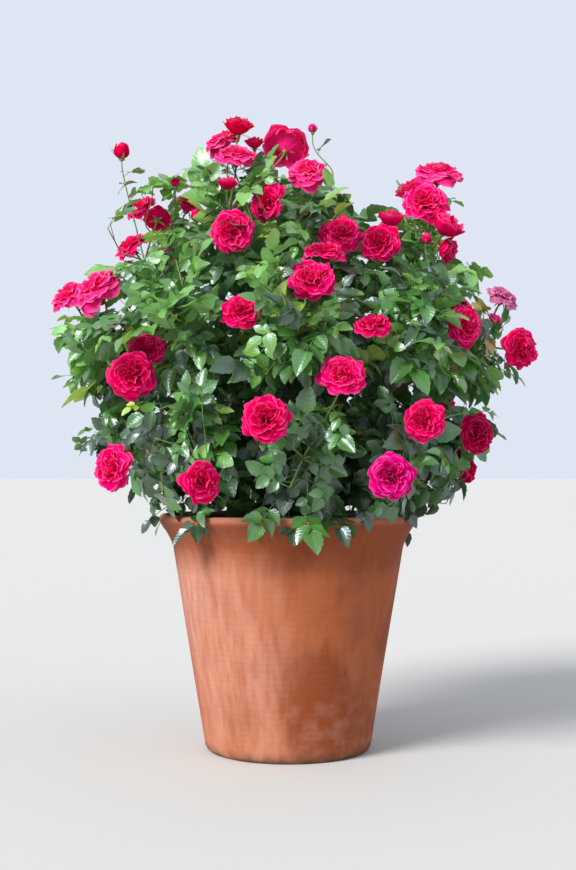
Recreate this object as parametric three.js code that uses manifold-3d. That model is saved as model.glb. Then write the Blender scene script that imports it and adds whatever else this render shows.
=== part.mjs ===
// A shrub rose in full flower, grown in a large terracotta pot.
// Millimetres, +Z up, origin at the centre of the pot's flat underside. The best side faces -Y.
import * as THREE from "three";
import { mergeVertices } from "three/addons/utils/BufferGeometryUtils.js";
import Module from "manifold-3d";

const wasm = await Module();
wasm.setup();

// ---- Driving dimensions -------------------------------------------------------------------

const POT = {
  height: 450,
  rimRadius: 250,
  neckRadius: 221, // where the straight wall meets the flared collar
  neckHeight: 385,
  footRadius: 158,
  heel: 9, // rounding under the wall
  wall: 20,
  floor: 28,
  lip: 11, // radius of the rolled rim
  sides: 36,
};
const SOIL = { top: 412, dome: 9 };
const UNION = { height: 44, flareRadius: 50, topRadius: 37, sides: 10 };
const CLEAR = 0.3; // running gap between neighbouring solids
const SLIVER = 0.05; // detail smaller than this is dropped where solids are fused

const CANE = { footRadius: 7.4, tipRadius: 3.4, sides: 5, steps: 5 };
const UPRIGHT = { footRadius: 6.4, tipRadius: 3.2, sides: 5, steps: 5 };
const SIDE_BOUGH = { footRadius: 4.4, tipRadius: 2.8, sides: 5, steps: 4 };
// Girths of the growth inside a mass: its stem, the shoots on that stem, and the twigs on those.
const GIRTHS = [
  { radius: 4.6, tipRadius: 4.2 },
  { radius: 2.4, tipRadius: 2.0 },
  { radius: 1.3, tipRadius: 1.1 },
];
const NECK = 34; // the straight stalk under each flower

// One blade stands for a whole leaf of five leaflets.
const LEAF = { length: 122, width: 86, thickness: 4, sink: 0.8, spacing: 20, apart: 17, tries: 16 };
const TWIGS_PER_MASS = 7;

// How far the foliage reaches to the left and to the right at each height; front to back it is a little
// shallower, and it lies in tiers that stand out and in by turns.
const OUTLINE = [
  [395, 240, 240],
  [470, 320, 345],
  [560, 420, 420],
  [650, 440, 440],
  [720, 485, 475],
  [820, 480, 475],
  [900, 400, 440],
  [960, 385, 370],
  [1030, 375, 335],
  [1100, 330, 300],
  [1160, 190, 200],
  [1205, 60, 60],
];
const TIERS = { from: 708, tall: 112, around: 4, depth: 0.12 };
const DEPTH_SHARE = 0.92;
const GOLDEN_ANGLE = THREE.MathUtils.degToRad(137.508);
const UP = new THREE.Vector3(0, 0, 1);
const CORE = new THREE.Vector3(0, 0, 640); // the crown spreads away from here
const ONLOOKER = new THREE.Vector3(0, -2600, 540); // the flowers of the best side are open to view from here

// Ways that a flower looks.
const FRONT = [0, -1, 0.12];
const FRONT_UP = [0, -0.8, 0.6];
const LEFT_FRONT = [-0.62, -0.75, 0.1];
const RIGHT_FRONT = [0.6, -0.8, 0.0];
const LEFT_UP = [-0.55, -0.35, 0.75];
const RIGHT_UP = [0.45, -0.35, 0.8];
const SKY = [0.05, -0.3, 0.95];
const BACK_UP = [0.1, 0.72, 0.62];
const DOWN_RIGHT = [0.75, -0.45, -0.35];

const flower = (form) => (x, y, z, across, faces) => ({
  form,
  at: new THREE.Vector3(x, y, z),
  across,
  faces: new THREE.Vector3(...faces).normalize(),
});
const rosette = flower("rosette");
const cup = flower("cup");
const bud = flower("bud");

// The flowers of the best side, from the foot of the crown to its top.
const SHOW_FLOWERS = [
  rosette(-145, -345, 515, 74, RIGHT_FRONT),
  rosette(175, -335, 525, 80, FRONT),
  rosette(-315, -190, 540, 84, LEFT_FRONT),
  rosette(345, -150, 600, 76, RIGHT_FRONT),
  rosette(-35, -370, 620, 84, FRONT),
  rosette(235, -295, 620, 76, FRONT),
  rosette(92, -360, 694, 86, FRONT_UP),
  rosette(-277, -230, 702, 86, FRONT),
  rosette(-255, -165, 754, 74, FRONT_UP),
  rosette(440, -60, 765, 82, RIGHT_FRONT),
  rosette(146, -300, 782, 68, SKY),
  rosette(322, -170, 796, 80, RIGHT_FRONT),
  rosette(-80, -310, 806, 72, FRONT_UP),
  cup(392, -62, 822, 26, RIGHT_UP),
  rosette(414, -30, 866, 62, RIGHT_UP),
  rosette(-360, -80, 876, 92, LEFT_UP),
  rosette(-424, -15, 870, 74, LEFT_UP),
  rosette(40, -265, 868, 88, FRONT_UP),
  rosette(67, -195, 924, 78, SKY),
  rosette(172, -125, 955, 78, FRONT),
  cup(308, -30, 958, 48, DOWN_RIGHT),
  bud(260, -95, 966, 22, SKY),
  rosette(-101, -172, 968, 84, FRONT),
  rosette(98, -112, 975, 86, FRONT_UP),
  rosette(-312, 60, 978, 70, LEFT_UP),
  cup(303, -64, 1000, 62, RIGHT_UP),
  cup(194, -85, 1010, 48, SKY),
  bud(-173, -82, 1012, 24, SKY),
  rosette(-252, -12, 1022, 54, BACK_UP),
  rosette(-40, -62, 1044, 76, LEFT_FRONT),
  rosette(-288, 24, 1048, 70, LEFT_UP),
  rosette(267, -22, 1050, 94, FRONT_UP),
  rosette(-196, 42, 1056, 62, RIGHT_UP),
  cup(-113, -122, 1068, 36, SKY),
  bud(-258, -52, 1084, 18, SKY),
  bud(-214, -60, 1080, 18, SKY),
  cup(238, 28, 1086, 50, LEFT_UP),
  rosette(38, -22, 1108, 80, FRONT_UP),
  rosette(298, 52, 1120, 94, SKY),
  rosette(-100, -22, 1138, 80, SKY),
  bud(-320, -30, 1146, 32, SKY),
  rosette(-3, 27, 1172, 88, BACK_UP),
  cup(-66, 29, 1180, 34, SKY),
  rosette(-131, 42, 1182, 70, LEFT_UP),
  bud(48, -10, 1196, 18, SKY),
  cup(-96, 0, 1206, 52, SKY),
];

// The far side carries fewer flowers, strewn by rule from low on the left to high on the right.
const FAR_FLOWERS = { count: 15, from: 14, to: 166, low: 540, high: 1075, across: 82 };

// Each mass has its middle, its reach and the limb that carries it.
const mass = (name, x, y, z, reach) => ({
  name: "foliage_" + name,
  limb: name,
  at: new THREE.Vector3(x, y, z),
  reach,
});
const MASSES = [
  mass("front_low", 25, -262, 560, 168),
  mass("front_left_low", -155, -225, 570, 168),
  mass("left_low", -290, -30, 585, 160),
  mass("back_left_low", -170, 205, 575, 165),
  mass("back_right_low", 165, 215, 575, 165),
  mass("right_low", 300, 15, 585, 165),
  mass("front_right_low", 205, -205, 570, 168),
  mass("front", 15, -240, 765, 165),
  mass("front_left", -185, -170, 770, 165),
  mass("left", -345, -5, 750, 160),
  mass("back_left", -215, 195, 775, 165),
  mass("back", -10, 250, 765, 165),
  mass("back_right", 215, 195, 775, 165),
  mass("right", 365, -10, 770, 165),
  mass("front_right", 215, -175, 775, 165),
  mass("top_left", -270, 0, 935, 140),
  mass("top_front_left", -95, -80, 950, 150),
  mass("top_front", 80, -95, 940, 150),
  mass("top_right", 265, 0, 940, 145),
  mass("top_back", 0, 115, 945, 155),
];

// Canes spring from the union in two rings, each listed turning from +X towards +Y. The outer ones arch out
// to the middle tier, and the inner ones stand nearly upright.
const OUTER_RING = {
  radius: 27,
  rise: 0.62,
  size: CANE,
  canes: ["right", "back_right", "back", "back_left", "left", "front_left", "front", "front_right"],
};
const INNER_RING = {
  radius: 12.5,
  rise: 0.75,
  size: UPRIGHT,
  canes: ["top_right", "top_back", "top_left", "top_front_left", "top_front"],
};
// Side boughs leave their canes for the masses lower down and further in.
const SIDE_BOUGHS = {
  right: "right_low",
  back_right: "back_right_low",
  back_left: "back_left_low",
  left: "left_low",
  front_left: "front_left_low",
  front: "front_low",
  front_right: "front_right_low",
};
const ENTRY = 62; // a limb ends this far short of the middle of its mass
const FORK = 0.42; // how far up its cane a side bough leaves

// ---- Small tools --------------------------------------------------------------------------

// Repeatable draws between 0 and 1.
function drawsFrom(seed) {
  let state = seed;
  return () => {
    state = (state * 48271) % 2147483647;
    return state / 2147483647;
  };
}

function solidOf(geometry) {
  const plain = geometry.index ? geometry.toNonIndexed() : geometry;
  plain.deleteAttribute("normal");
  plain.deleteAttribute("uv");
  const merged = mergeVertices(plain, 1e-3);
  return new wasm.Manifold(
    new wasm.Mesh({
      numProp: 3,
      vertProperties: merged.attributes.position.array,
      triVerts: new Uint32Array(merged.index.array),
    }),
  );
}

function geometryOf(solid) {
  const { vertProperties, triVerts, numProp } = solid.getMesh();
  const places = new Float32Array((vertProperties.length / numProp) * 3);
  for (let i = 0; i < places.length / 3; i++)
    places.set(vertProperties.subarray(i * numProp, i * numProp + 3), i * 3);
  const geometry = new THREE.BufferGeometry();
  geometry.setAttribute("position", new THREE.BufferAttribute(places, 3));
  geometry.setIndex(new THREE.BufferAttribute(triVerts, 1));
  geometry.computeVertexNormals();
  return geometry;
}

// Moves every vertex of a geometry by a rule.
function reshape(geometry, rule) {
  const places = geometry.attributes.position;
  const point = new THREE.Vector3();
  for (let i = 0; i < places.count; i++) {
    point.fromBufferAttribute(places, i);
    rule(point);
    places.setXYZ(i, point.x, point.y, point.z);
  }
  return geometry;
}

// A profile of [radius, height] pairs, turned about Z.
function turned(profile, sides) {
  const points = profile.map(([radius, height]) => new THREE.Vector2(radius, height));
  return new THREE.LatheGeometry(points, sides).rotateX(Math.PI / 2);
}

// Two directions square to a heading, the first of them level where it can be.
function squareTo(heading) {
  const side = new THREE.Vector3().crossVectors(UP, heading);
  if (side.lengthSq() < 1e-6) side.set(1, 0, 0);
  side.normalize();
  return [side, new THREE.Vector3().crossVectors(heading, side).normalize()];
}

// A bar with flat sides, from 0 to 1 along Z and of radius 1, ready to be bent and tapered.
function plainBar(sides, steps) {
  const corners = Array.from({ length: sides }, (_, i) => {
    const turn = (2 * Math.PI * i) / sides;
    return new THREE.Vector2(Math.cos(turn), Math.sin(turn));
  });
  return new THREE.ExtrudeGeometry(new THREE.Shape(corners), { depth: 1, steps, bevelEnabled: false });
}

// A pair of directions square to each heading in turn, carried along so that a bar doesn't twist.
function framesAlong(headings) {
  let [side] = squareTo(headings[0]);
  return headings.map((heading) => {
    side = side.clone().addScaledVector(heading, -side.dot(heading)).normalize();
    return [side, new THREE.Vector3().crossVectors(heading, side)];
  });
}

// A bar through the given stations that tapers from one radius to the other.
function taperedBar(stations, headings, footRadius, tipRadius, sides) {
  const last = stations.length - 1;
  const frames = framesAlong(headings);
  return reshape(plainBar(sides, last), (point) => {
    const i = Math.round(point.z * last);
    const [side, over] = frames[i];
    const girth = THREE.MathUtils.lerp(footRadius, tipRadius, i / last);
    const { x, y } = point;
    point.copy(stations[i]).addScaledVector(side, x * girth).addScaledVector(over, y * girth);
  });
}

function toSegment(point, from, to) {
  const along = to.clone().sub(from);
  const share = point.clone().sub(from).dot(along) / along.lengthSq();
  const t = THREE.MathUtils.clamp(share, 0, 1);
  return from.clone().addScaledVector(along, t).distanceTo(point);
}

// ---- Pot and soil -------------------------------------------------------------------------

const LIP_HEIGHT = POT.height - POT.lip; // the rolled rim turns about this height
const COLLAR = LIP_HEIGHT - POT.neckHeight;

// The outside radius of the wall at a height: a straight taper, then a collar that flares out.
function potRadiusAt(height) {
  const taper = (POT.neckRadius - POT.footRadius) / POT.neckHeight;
  if (height <= POT.neckHeight) return POT.footRadius + taper * height;
  const share = Math.min((height - POT.neckHeight) / COLLAR, 1);
  const flare = 1 - Math.cos((share * Math.PI) / 2);
  return POT.neckRadius + (POT.rimRadius - POT.neckRadius) * THREE.MathUtils.lerp(share, flare, 0.55);
}

// The inside radius follows the taper, then runs straight out to the rim.
function insideRadiusAt(height) {
  if (height <= POT.neckHeight) return potRadiusAt(height) - POT.wall;
  const share = (height - POT.neckHeight) / COLLAR;
  return THREE.MathUtils.lerp(POT.neckRadius, POT.rimRadius, share) - POT.wall;
}

function potProfile() {
  const collar = [0.35, 0.7, 1].map((share) => POT.neckHeight + share * COLLAR);
  const rim = [55, 90, 125].map((degrees) => {
    const turn = THREE.MathUtils.degToRad(degrees);
    return [POT.rimRadius - POT.lip * (1 - Math.cos(turn)), LIP_HEIGHT + POT.lip * Math.sin(turn)];
  });
  return [
    [0, 0],
    [POT.footRadius - POT.heel, 0],
    [potRadiusAt(POT.heel), POT.heel],
    [POT.neckRadius, POT.neckHeight],
    ...collar.map((height) => [potRadiusAt(height), height]),
    ...rim,
    ...[LIP_HEIGHT, POT.neckHeight, POT.floor].map((height) => [insideRadiusAt(height), height]),
    [0, POT.floor],
  ];
}

// The compost fills the pot to below the rim, with a slightly raised middle and a flat where the plant stands.
function soilProfile() {
  const edge = SOIL.top - SOIL.dome;
  const wall = [POT.floor + CLEAR, POT.neckHeight, edge];
  return [
    [0, wall[0]],
    ...wall.map((height) => [insideRadiusAt(height) - CLEAR, height]),
    [UNION.flareRadius + 6, SOIL.top],
    [0, SOIL.top],
  ];
}

// True where a point lies inside the crown's outline.
function inOutline({ x, y, z }) {
  const above = OUTLINE.findIndex(([height]) => height > z);
  if (above < 1) return false;
  const [low, high] = OUTLINE.slice(above - 1, above + 1);
  const [left, right] = [1, 2].map((hand) => THREE.MathUtils.mapLinear(z, low[0], high[0], low[hand], high[hand]));
  const bearing = Math.atan2(y / DEPTH_SHARE, x);
  const reach = THREE.MathUtils.lerp(left, right, (1 + Math.cos(bearing)) / 2);
  const tier = Math.cos((2 * Math.PI * (z - TIERS.from)) / TIERS.tall + TIERS.around * bearing);
  return Math.hypot(x, y / DEPTH_SHARE) < reach * (1 - TIERS.depth * (0.5 - 0.5 * tier));
}

// True where a point keeps the given distance from the pot and the soil.
function clearOfPot(point, gap) {
  const radius = Math.hypot(point.x, point.y);
  if (point.z > POT.height + gap) return true;
  if (radius > potRadiusAt(Math.min(point.z + gap, POT.height)) + gap) return true;
  return point.z > SOIL.top + gap && radius < insideRadiusAt(point.z - gap) - gap;
}

// ---- Union, canes and side boughs -----------------------------------------------------------

const UNION_FOOT = SOIL.top + CLEAR;
const UNION_TOP = UNION_FOOT + UNION.height;

// The knuckle where the canes spring: a flat foot with a root flare, swelling again under the canes.
function unionSolid(grow = 0) {
  const { flareRadius, topRadius, height, sides } = UNION;
  const profile = [
    [0, UNION_FOOT],
    [flareRadius + grow, UNION_FOOT],
    [flareRadius * 0.72 + grow, UNION_FOOT + height * 0.28],
    [topRadius * 0.9 + grow, UNION_FOOT + height * 0.55],
    [topRadius + grow, UNION_FOOT + height * 0.85],
    [topRadius * 0.96 + grow, UNION_TOP + grow],
    [0, UNION_TOP + grow],
  ];
  return solidOf(turned(profile, sides));
}

const massFor = (limb) => MASSES.find((each) => each.limb === limb);

// A cane leaves the union nearly upright and bends over towards its mass.
function caneCurve(name, bearing, { radius, rise }) {
  const goal = massFor(name).at;
  const foot = new THREE.Vector3(radius * Math.cos(bearing), radius * Math.sin(bearing), UNION_TOP - 4);
  const knee = new THREE.Vector3(0.3 * goal.x, 0.3 * goal.y, THREE.MathUtils.lerp(UNION_TOP, goal.z, rise));
  const entry = goal.clone().sub(knee).setLength(ENTRY);
  return new THREE.QuadraticBezierCurve3(foot, knee, goal.clone().sub(entry));
}

// A side bough leaves its cane and spreads out to its own mass.
function boughCurve(name, cane) {
  const goal = massFor(name).at;
  const foot = cane.getPointAt(FORK);
  const knee = foot.clone().lerp(goal, 0.45).add(new THREE.Vector3(0, 0, 26));
  const entry = goal.clone().sub(knee).setLength(ENTRY);
  return new THREE.QuadraticBezierCurve3(foot, knee, goal.clone().sub(entry));
}

function limbSolid({ curve, size }, grow = 0) {
  const { footRadius, tipRadius, sides, steps } = size;
  const stations = curve.getSpacedPoints(steps);
  const headings = stations.map((_, i) => curve.getTangentAt(i / steps));
  return solidOf(taperedBar(stations, headings, footRadius + grow, tipRadius + grow, sides));
}

function growLimbs() {
  const limbs = new Map();
  const union = unionSolid(CLEAR);
  for (const ring of [OUTER_RING, INNER_RING]) {
    ring.canes.forEach((name, i) => {
      const bearing = (2 * Math.PI * i) / ring.canes.length;
      const cane = { name: "cane_" + name, curve: caneCurve(name, bearing, ring), size: ring.size };
      cane.solid = limbSolid(cane).subtract(union);
      limbs.set(name, cane);
      const goal = SIDE_BOUGHS[name];
      if (!goal) return;
      const bough = { name: "bough_" + goal, curve: boughCurve(goal, cane.curve), size: SIDE_BOUGH };
      bough.solid = limbSolid(bough).subtract(limbSolid(cane, CLEAR));
      limbs.set(goal, bough);
    });
  }
  return limbs;
}

// ---- Space that a mass may fill ---------------------------------------------------------------

const limbs = growLimbs();
const LIMB_SAMPLES = 14;
const limbLines = [...limbs.values()].map(({ curve, size }) => ({
  points: curve.getSpacedPoints(LIMB_SAMPLES),
  radius: size.footRadius,
}));

function clearOfLimbs(point, gap) {
  return limbLines.every(({ points, radius }) =>
    points.every((from, i) => {
      const to = points[i + 1];
      return !to || toSegment(point, from, to) > radius + gap;
    }),
  );
}

// A mass keeps to the points that are nearer to its own middle than to any other.
function inOwnSpace(point, own, margin) {
  const near = point.distanceToSquared(own.at);
  return MASSES.every((other) => {
    if (other === own) return true;
    const span = own.at.distanceTo(other.at);
    return (point.distanceToSquared(other.at) - near) / (2 * span) > margin;
  });
}

function farFlowers() {
  const { count, from, to, low, high, across } = FAR_FLOWERS;
  const draw = drawsFrom(4177);
  return Array.from({ length: count }, (_, i) => {
    const tier = (i * 0.618034) % 1; // golden steps keep neighbours apart
    const bearing = THREE.MathUtils.degToRad(from + ((to - from) * (i + 0.5)) / count);
    const height = low + (high - low) * tier;
    const swell = Math.sin(Math.PI * (0.28 + 0.6 * tier));
    const reach = 205 + 215 * swell + 20 * draw();
    const at = [reach * Math.cos(bearing), reach * 0.92 * Math.sin(bearing), height + 30 * draw()];
    const faces = [Math.cos(bearing), Math.sin(bearing), 0.25 + 0.9 * tier];
    return rosette(...at, across * (0.86 + 0.22 * draw()), faces);
  });
}

// A flower belongs to the mass that the foot of its stalk lies in, well inside that mass's border, and it
// looks the way its stalk points.
const FLOWERS = [...SHOW_FLOWERS, ...farFlowers()];
for (const each of FLOWERS) {
  if (SHOW_FLOWERS.includes(each)) each.seen = ONLOOKER.clone().sub(each.at).normalize();
  each.neck = each.at.clone().addScaledVector(each.faces, -NECK);
  each.owner = MASSES.reduce((best, next) =>
    next.at.distanceTo(each.neck) < best.at.distanceTo(each.neck) ? next : best,
  );
  while (!inOwnSpace(each.neck, each.owner, 7)) each.neck.lerp(each.owner.at, 0.03);
  each.faces.copy(each.at).sub(each.neck).normalize();
}

// Foliage keeps off every flower: off the whole of it, out of the space that it looks into, and out of the
// way of anyone who looks at the best side.
function clearOfFlowers(point, own, gap) {
  return FLOWERS.every(({ at, across, faces, seen, owner, form }) => {
    const offset = point.clone().sub(at);
    const reach = across / 2;
    if (offset.length() < reach * (owner === own ? 0.8 : 1.08) + (owner === own ? 0 : gap)) return false;
    if (seen && inBeam(offset, seen, Infinity, reach * 0.8)) return false;
    return form === "bud" || !inBeam(offset, faces, 75, reach * 0.85);
  });
}

// True where an offset lies ahead along a direction, within the given reach and to the side of it.
function inBeam(offset, way, reach, width) {
  const ahead = offset.dot(way);
  return ahead > 0 && ahead < reach && offset.clone().addScaledVector(way, -ahead).length() < width;
}

// ---- Growth inside a mass -----------------------------------------------------------------------

// Tips for the leafy twigs: each is the best of many draws, far from the others and towards the outside.
function leafyTips(own, draw) {
  const chosen = FLOWERS.filter((each) => each.owner === own).map((each) => each.at);
  const tips = [];
  const outward = own.at.clone().sub(CORE).normalize();
  while (tips.length < TWIGS_PER_MASS) {
    let best = null;
    let bestScore = 0;
    for (let k = 0; k < 60; k++) {
      const turn = 2 * Math.PI * draw();
      const level = 2 * draw() - 1;
      const share = 0.5 + 0.45 * draw();
      const flat = Math.sqrt(1 - level * level);
      const way = new THREE.Vector3(flat * Math.cos(turn), flat * Math.sin(turn), level);
      const tip = own.at.clone().addScaledVector(way, share * own.reach);
      if (!inOutline(tip) || !inOwnSpace(tip, own, 9) || !clearOfPot(tip, 16)) continue;
      if (!clearOfLimbs(tip, 9) || !clearOfFlowers(tip, own, 8)) continue;
      const room = [...chosen, ...tips].reduce((least, p) => Math.min(least, p.distanceTo(tip)), 160);
      const score = room * (1 + 0.45 * way.dot(outward));
      if (score > bestScore) {
        best = tip;
        bestScore = score;
      }
    }
    if (!best) break;
    tips.push(best);
  }
  return tips;
}

// True where the straight run between two points stays in the mass's space and clear of everything solid.
function openRun(from, to, own, held) {
  const steps = Math.ceil(from.distanceTo(to) / 8);
  for (let i = 1; i <= steps; i++) {
    const point = from.clone().lerp(to, i / steps);
    if (!inOwnSpace(point, own, 3) || !clearOfPot(point, 6) || !clearOfLimbs(point, 4)) return false;
    if (FLOWERS.some((each) => each !== held && each.at.distanceTo(point) < each.across / 2 + 4)) return false;
  }
  return true;
}

// Shoots are polylines. The first is the stem, and each later one leaves the shoot that costs it least length.
function growShoots(own, draw) {
  const { curve } = limbs.get(own.limb);
  const heading = curve.getTangentAt(1);
  const foot = curve.getPointAt(1).addScaledVector(heading, CLEAR);
  const heart = foot.clone().addScaledVector(heading, ENTRY + 12);
  const shoots = [];
  const anchors = [];
  const addShoot = (points, order, held) => {
    shoots.push({ points, order, held });
    if (order === GIRTHS.length - 1) return;
    const [from, to] = points;
    for (const share of order ? [0.45, 0.8] : [0.3, 0.55, 0.8, 0.98]) {
      anchors.push({ at: from.clone().lerp(to, share), order: order + 1 });
    }
  };
  const reachFor = (goal, held, knees) => {
    let best = null;
    for (const each of anchors) {
      for (const knee of knees) {
        const points = knee ? [each.at, knee, goal] : [each.at, goal];
        const cost = knee ? each.at.distanceTo(knee) + knee.distanceTo(goal) : each.at.distanceTo(goal);
        if (best && cost + 30 * each.order >= best.cost) continue;
        const open = points.every((to, i) => !i || openRun(points[i - 1], to, own, held));
        if (open) best = { points, order: each.order, cost: cost + 30 * each.order };
      }
    }
    return best;
  };
  addShoot([foot, heart], 0, null);
  const near = (a, b) => a.distanceTo(foot) - b.distanceTo(foot);
  for (const held of FLOWERS.filter((each) => each.owner === own).sort((a, b) => near(a.at, b.at))) {
    const path = reachFor(held.neck, held, [null]) ?? reachFor(held.neck, held, detours(heart, held.neck, draw));
    if (path) addShoot([...path.points, held.at], path.order, held);
  }
  for (const tip of leafyTips(own, draw).sort(near)) {
    const path = reachFor(tip, null, [null]);
    if (path) addShoot(path.points, path.order, null);
  }
  return shoots;
}

// Places to bend a shoot that can't go straight.
const DETOUR = { tries: 120, least: 15, most: 85 };
function detours(from, to, draw) {
  const [side, over] = squareTo(to.clone().sub(from).normalize());
  return Array.from({ length: DETOUR.tries }, () => {
    const turn = 2 * Math.PI * draw();
    const offset = THREE.MathUtils.lerp(DETOUR.least, DETOUR.most, draw());
    return from
      .clone()
      .lerp(to, 0.25 + 0.6 * draw())
      .addScaledVector(side, offset * Math.cos(turn))
      .addScaledVector(over, offset * Math.sin(turn));
  });
}

// Leaves stand alternately along each shoot, turned out and up to the light.
function leavesOn(shoots, own, draw) {
  const leaves = [];
  for (const { points, order, held } of shoots) {
    const [from, to] = points;
    const run = to.clone().sub(from);
    const heading = run.clone().normalize();
    const [side, over] = squareTo(heading);
    let turn = 2 * Math.PI * draw();
    const last = run.length() - (held ? 10 : 0);
    for (let along = order ? 18 : 26; along <= last; along += LEAF.spacing) {
      turn += GOLDEN_ANGLE;
      const root = from.clone().addScaledVector(heading, along);
      const outward = root.clone().sub(CORE).normalize();
      for (let k = 0; k < LEAF.tries; k++) {
        const spin = turn + (k ? 2 * Math.PI * draw() : 0);
        const way = side.clone().multiplyScalar(Math.cos(spin)).addScaledVector(over, Math.sin(spin));
        const ease = 1 - k / LEAF.tries; // later tries point anywhere, and are smaller
        way.addScaledVector(heading, 0.5 * ease).addScaledVector(outward, 0.5 * ease);
        way.z += 0.2 - 0.5 * draw();
        way.normalize();
        const face = UP.clone().multiplyScalar(0.45).addScaledVector(outward, 0.9);
        face.x += 0.7 * (draw() - 0.5);
        face.y += 0.7 * (draw() - 0.5);
        const leaf = { root, way, face, size: (0.55 + 0.55 * ease) * (0.9 + 0.2 * draw()) };
        if (!leafFits(leaf, own, leaves) || !clearOfShoots(leaf, from, shoots)) continue;
        leaves.push(leaf);
        break;
      }
    }
  }
  return leaves;
}

// The leaf's own axes: along it, across it and out of its upper face.
function leafAxes({ way, face }) {
  const across = new THREE.Vector3().crossVectors(face, way).normalize();
  return [way, across, new THREE.Vector3().crossVectors(way, across)];
}

// Points spread over a blade, as shares of its length and of its half width.
const BLADE_SPOTS = [
  [0.3, 0],
  [0.55, 0],
  [0.78, 0],
  [1, 0],
  [0.42, 0.9],
  [0.42, -0.9],
  [0.7, 0.55],
  [0.7, -0.55],
  [0.24, 0.5],
  [0.24, -0.5],
];

function leafFits(leaf, own, leaves) {
  const [along, across] = leafAxes(leaf);
  const length = LEAF.length * leaf.size;
  const halfWidth = (LEAF.width * leaf.size) / 2;
  leaf.spots = BLADE_SPOTS.map(([share, hand]) =>
    leaf.root
      .clone()
      .addScaledVector(along, share * length)
      .addScaledVector(across, hand * halfWidth),
  );
  const fits = leaf.spots.every(
    (spot) =>
      inOutline(spot) &&
      inOwnSpace(spot, own, 2.5) &&
      clearOfPot(spot, 7) &&
      clearOfFlowers(spot, own, 5) &&
      clearOfLimbs(spot, 6),
  );
  return fits && leaves.every((other) => other.spots.every((a) => leaf.spots.every((b) => apart(a, b))));
}

const apart = (a, b) => a.distanceToSquared(b) > LEAF.apart ** 2;

// A leaf keeps off every shoot but the one that bears it.
function clearOfShoots({ spots }, bearer, shoots) {
  return shoots.every(({ points }) =>
    points[0] === bearer
      ? spots.every((spot) => points.length < 3 || toSegment(spot, points[1], points[2]) > 9)
      : spots.every((spot) => points.every((to, i) => !i || toSegment(spot, points[i - 1], to) > 9)),
  );
}

// ---- Solids of shoots, leaves and flowers -----------------------------------------------------------

// One three-sided bar along a polyline, drawn in towards its tip.
function shootSolid({ points, order }) {
  const { radius, tipRadius } = GIRTHS[order];
  const headings = points.map((_, i) => {
    const before = points[Math.max(i - 1, 0)];
    const after = points[Math.min(i + 1, points.length - 1)];
    return after.clone().sub(before).normalize();
  });
  return solidOf(taperedBar(points, headings, radius, tipRadius, 3));
}

// A kite-shaped blade of four faces: its two halves meet along a raised midrib, and its root lies in its shoot.
function leafSolid(leaf) {
  const [along, across, face] = leafAxes(leaf);
  const length = LEAF.length * leaf.size;
  const halfWidth = (LEAF.width * leaf.size) / 2;
  const blade = reshape(new THREE.TetrahedronGeometry(1), (p) => {
    const onRib = p.x * p.y > 0;
    if (onRib) p.set(p.x > 0 ? length : -LEAF.sink, 0, 0);
    else p.set(0.45 * length, p.x > 0 ? -halfWidth : halfWidth, -LEAF.thickness);
  });
  const matrix = new THREE.Matrix4().makeBasis(along, across, face).setPosition(leaf.root);
  return solidOf(blade.applyMatrix4(matrix));
}

// Flower heads as profiles of [radius, height] shares of half the flower's width.
const HEADS = {
  rosette: { sides: 8, profile: [[0, -0.42], [1, 0.0], [0.66, 0.38], [0, 0.3]] },
  cup: { sides: 6, profile: [[0, -0.75], [0.95, -0.1], [0.7, 0.6], [0, 0.5]] },
  bud: { sides: 4, profile: [[0, -0.9], [0.9, -0.1], [0, 1.5]] },
};
const RUFFLE = 0.06; // how far the corners of a rim stand in and out, by turns

function flowerSolid({ form, at, across, faces }) {
  const { sides, profile } = HEADS[form];
  const reach = across / 2;
  const head = turned(profile.map(([r, h]) => [r * reach, h * reach]), sides);
  reshape(head, (p) => {
    const wave = 1 + RUFFLE * Math.cos((Math.atan2(p.y, p.x) * sides) / 2);
    p.set(p.x * wave, p.y * wave, p.z);
  });
  const aim = new THREE.Quaternion().setFromUnitVectors(UP, faces);
  return solidOf(head.applyQuaternion(aim).translate(at.x, at.y, at.z));
}

function massSolid(own, seed) {
  const draw = drawsFrom(seed);
  const shoots = growShoots(own, draw);
  const leaves = leavesOn(shoots, own, draw);
  const heads = shoots.filter((each) => each.held).map((each) => flowerSolid(each.held));
  const fused = wasm.Manifold.union([
    ...shoots.map(shootSolid),
    ...leaves.map(leafSolid),
    ...heads,
  ]);
  // Only the largest outer skin stays: scraps go, and any sealed hollow is filled.
  const largest = fused.decompose().reduce((a, b) => (b.volume() > a.volume() ? b : a));
  return largest.asOriginal().simplify(SLIVER);
}

// ---- The plant in its pot ----------------------------------------------------------------------------

const FINISH = {
  terracotta: { color: 0xc17a58, roughness: 0.85, metalness: 0 },
  soil: { color: 0x3b2c22, roughness: 1, metalness: 0 },
  bark: { color: 0x5b5a35, roughness: 0.8, metalness: 0 },
  foliage: { color: 0x3f6137, roughness: 0.5, metalness: 0 },
};

const rose = new THREE.Group();
function place(name, geometry, finish) {
  const mesh = new THREE.Mesh(geometry, new THREE.MeshStandardMaterial(FINISH[finish]));
  mesh.name = name;
  rose.add(mesh);
}

place("pot", geometryOf(solidOf(turned(potProfile(), POT.sides))), "terracotta");
place("soil", geometryOf(solidOf(turned(soilProfile(), POT.sides))), "soil");
place("bud_union", geometryOf(unionSolid()), "bark");
for (const { name, solid } of limbs.values()) place(name, geometryOf(solid), "bark");
MASSES.forEach((own, i) => place(own.name, geometryOf(massSolid(own, 101 + 17 * i)), "foliage"));

export default rose;
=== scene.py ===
"""A shrub rose in full flower in a large terracotta pot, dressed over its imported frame.

The growth rule works in millimetres, as the part's source does, and the meshes are in metres.
"""

import functools
import math
from types import SimpleNamespace

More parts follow.
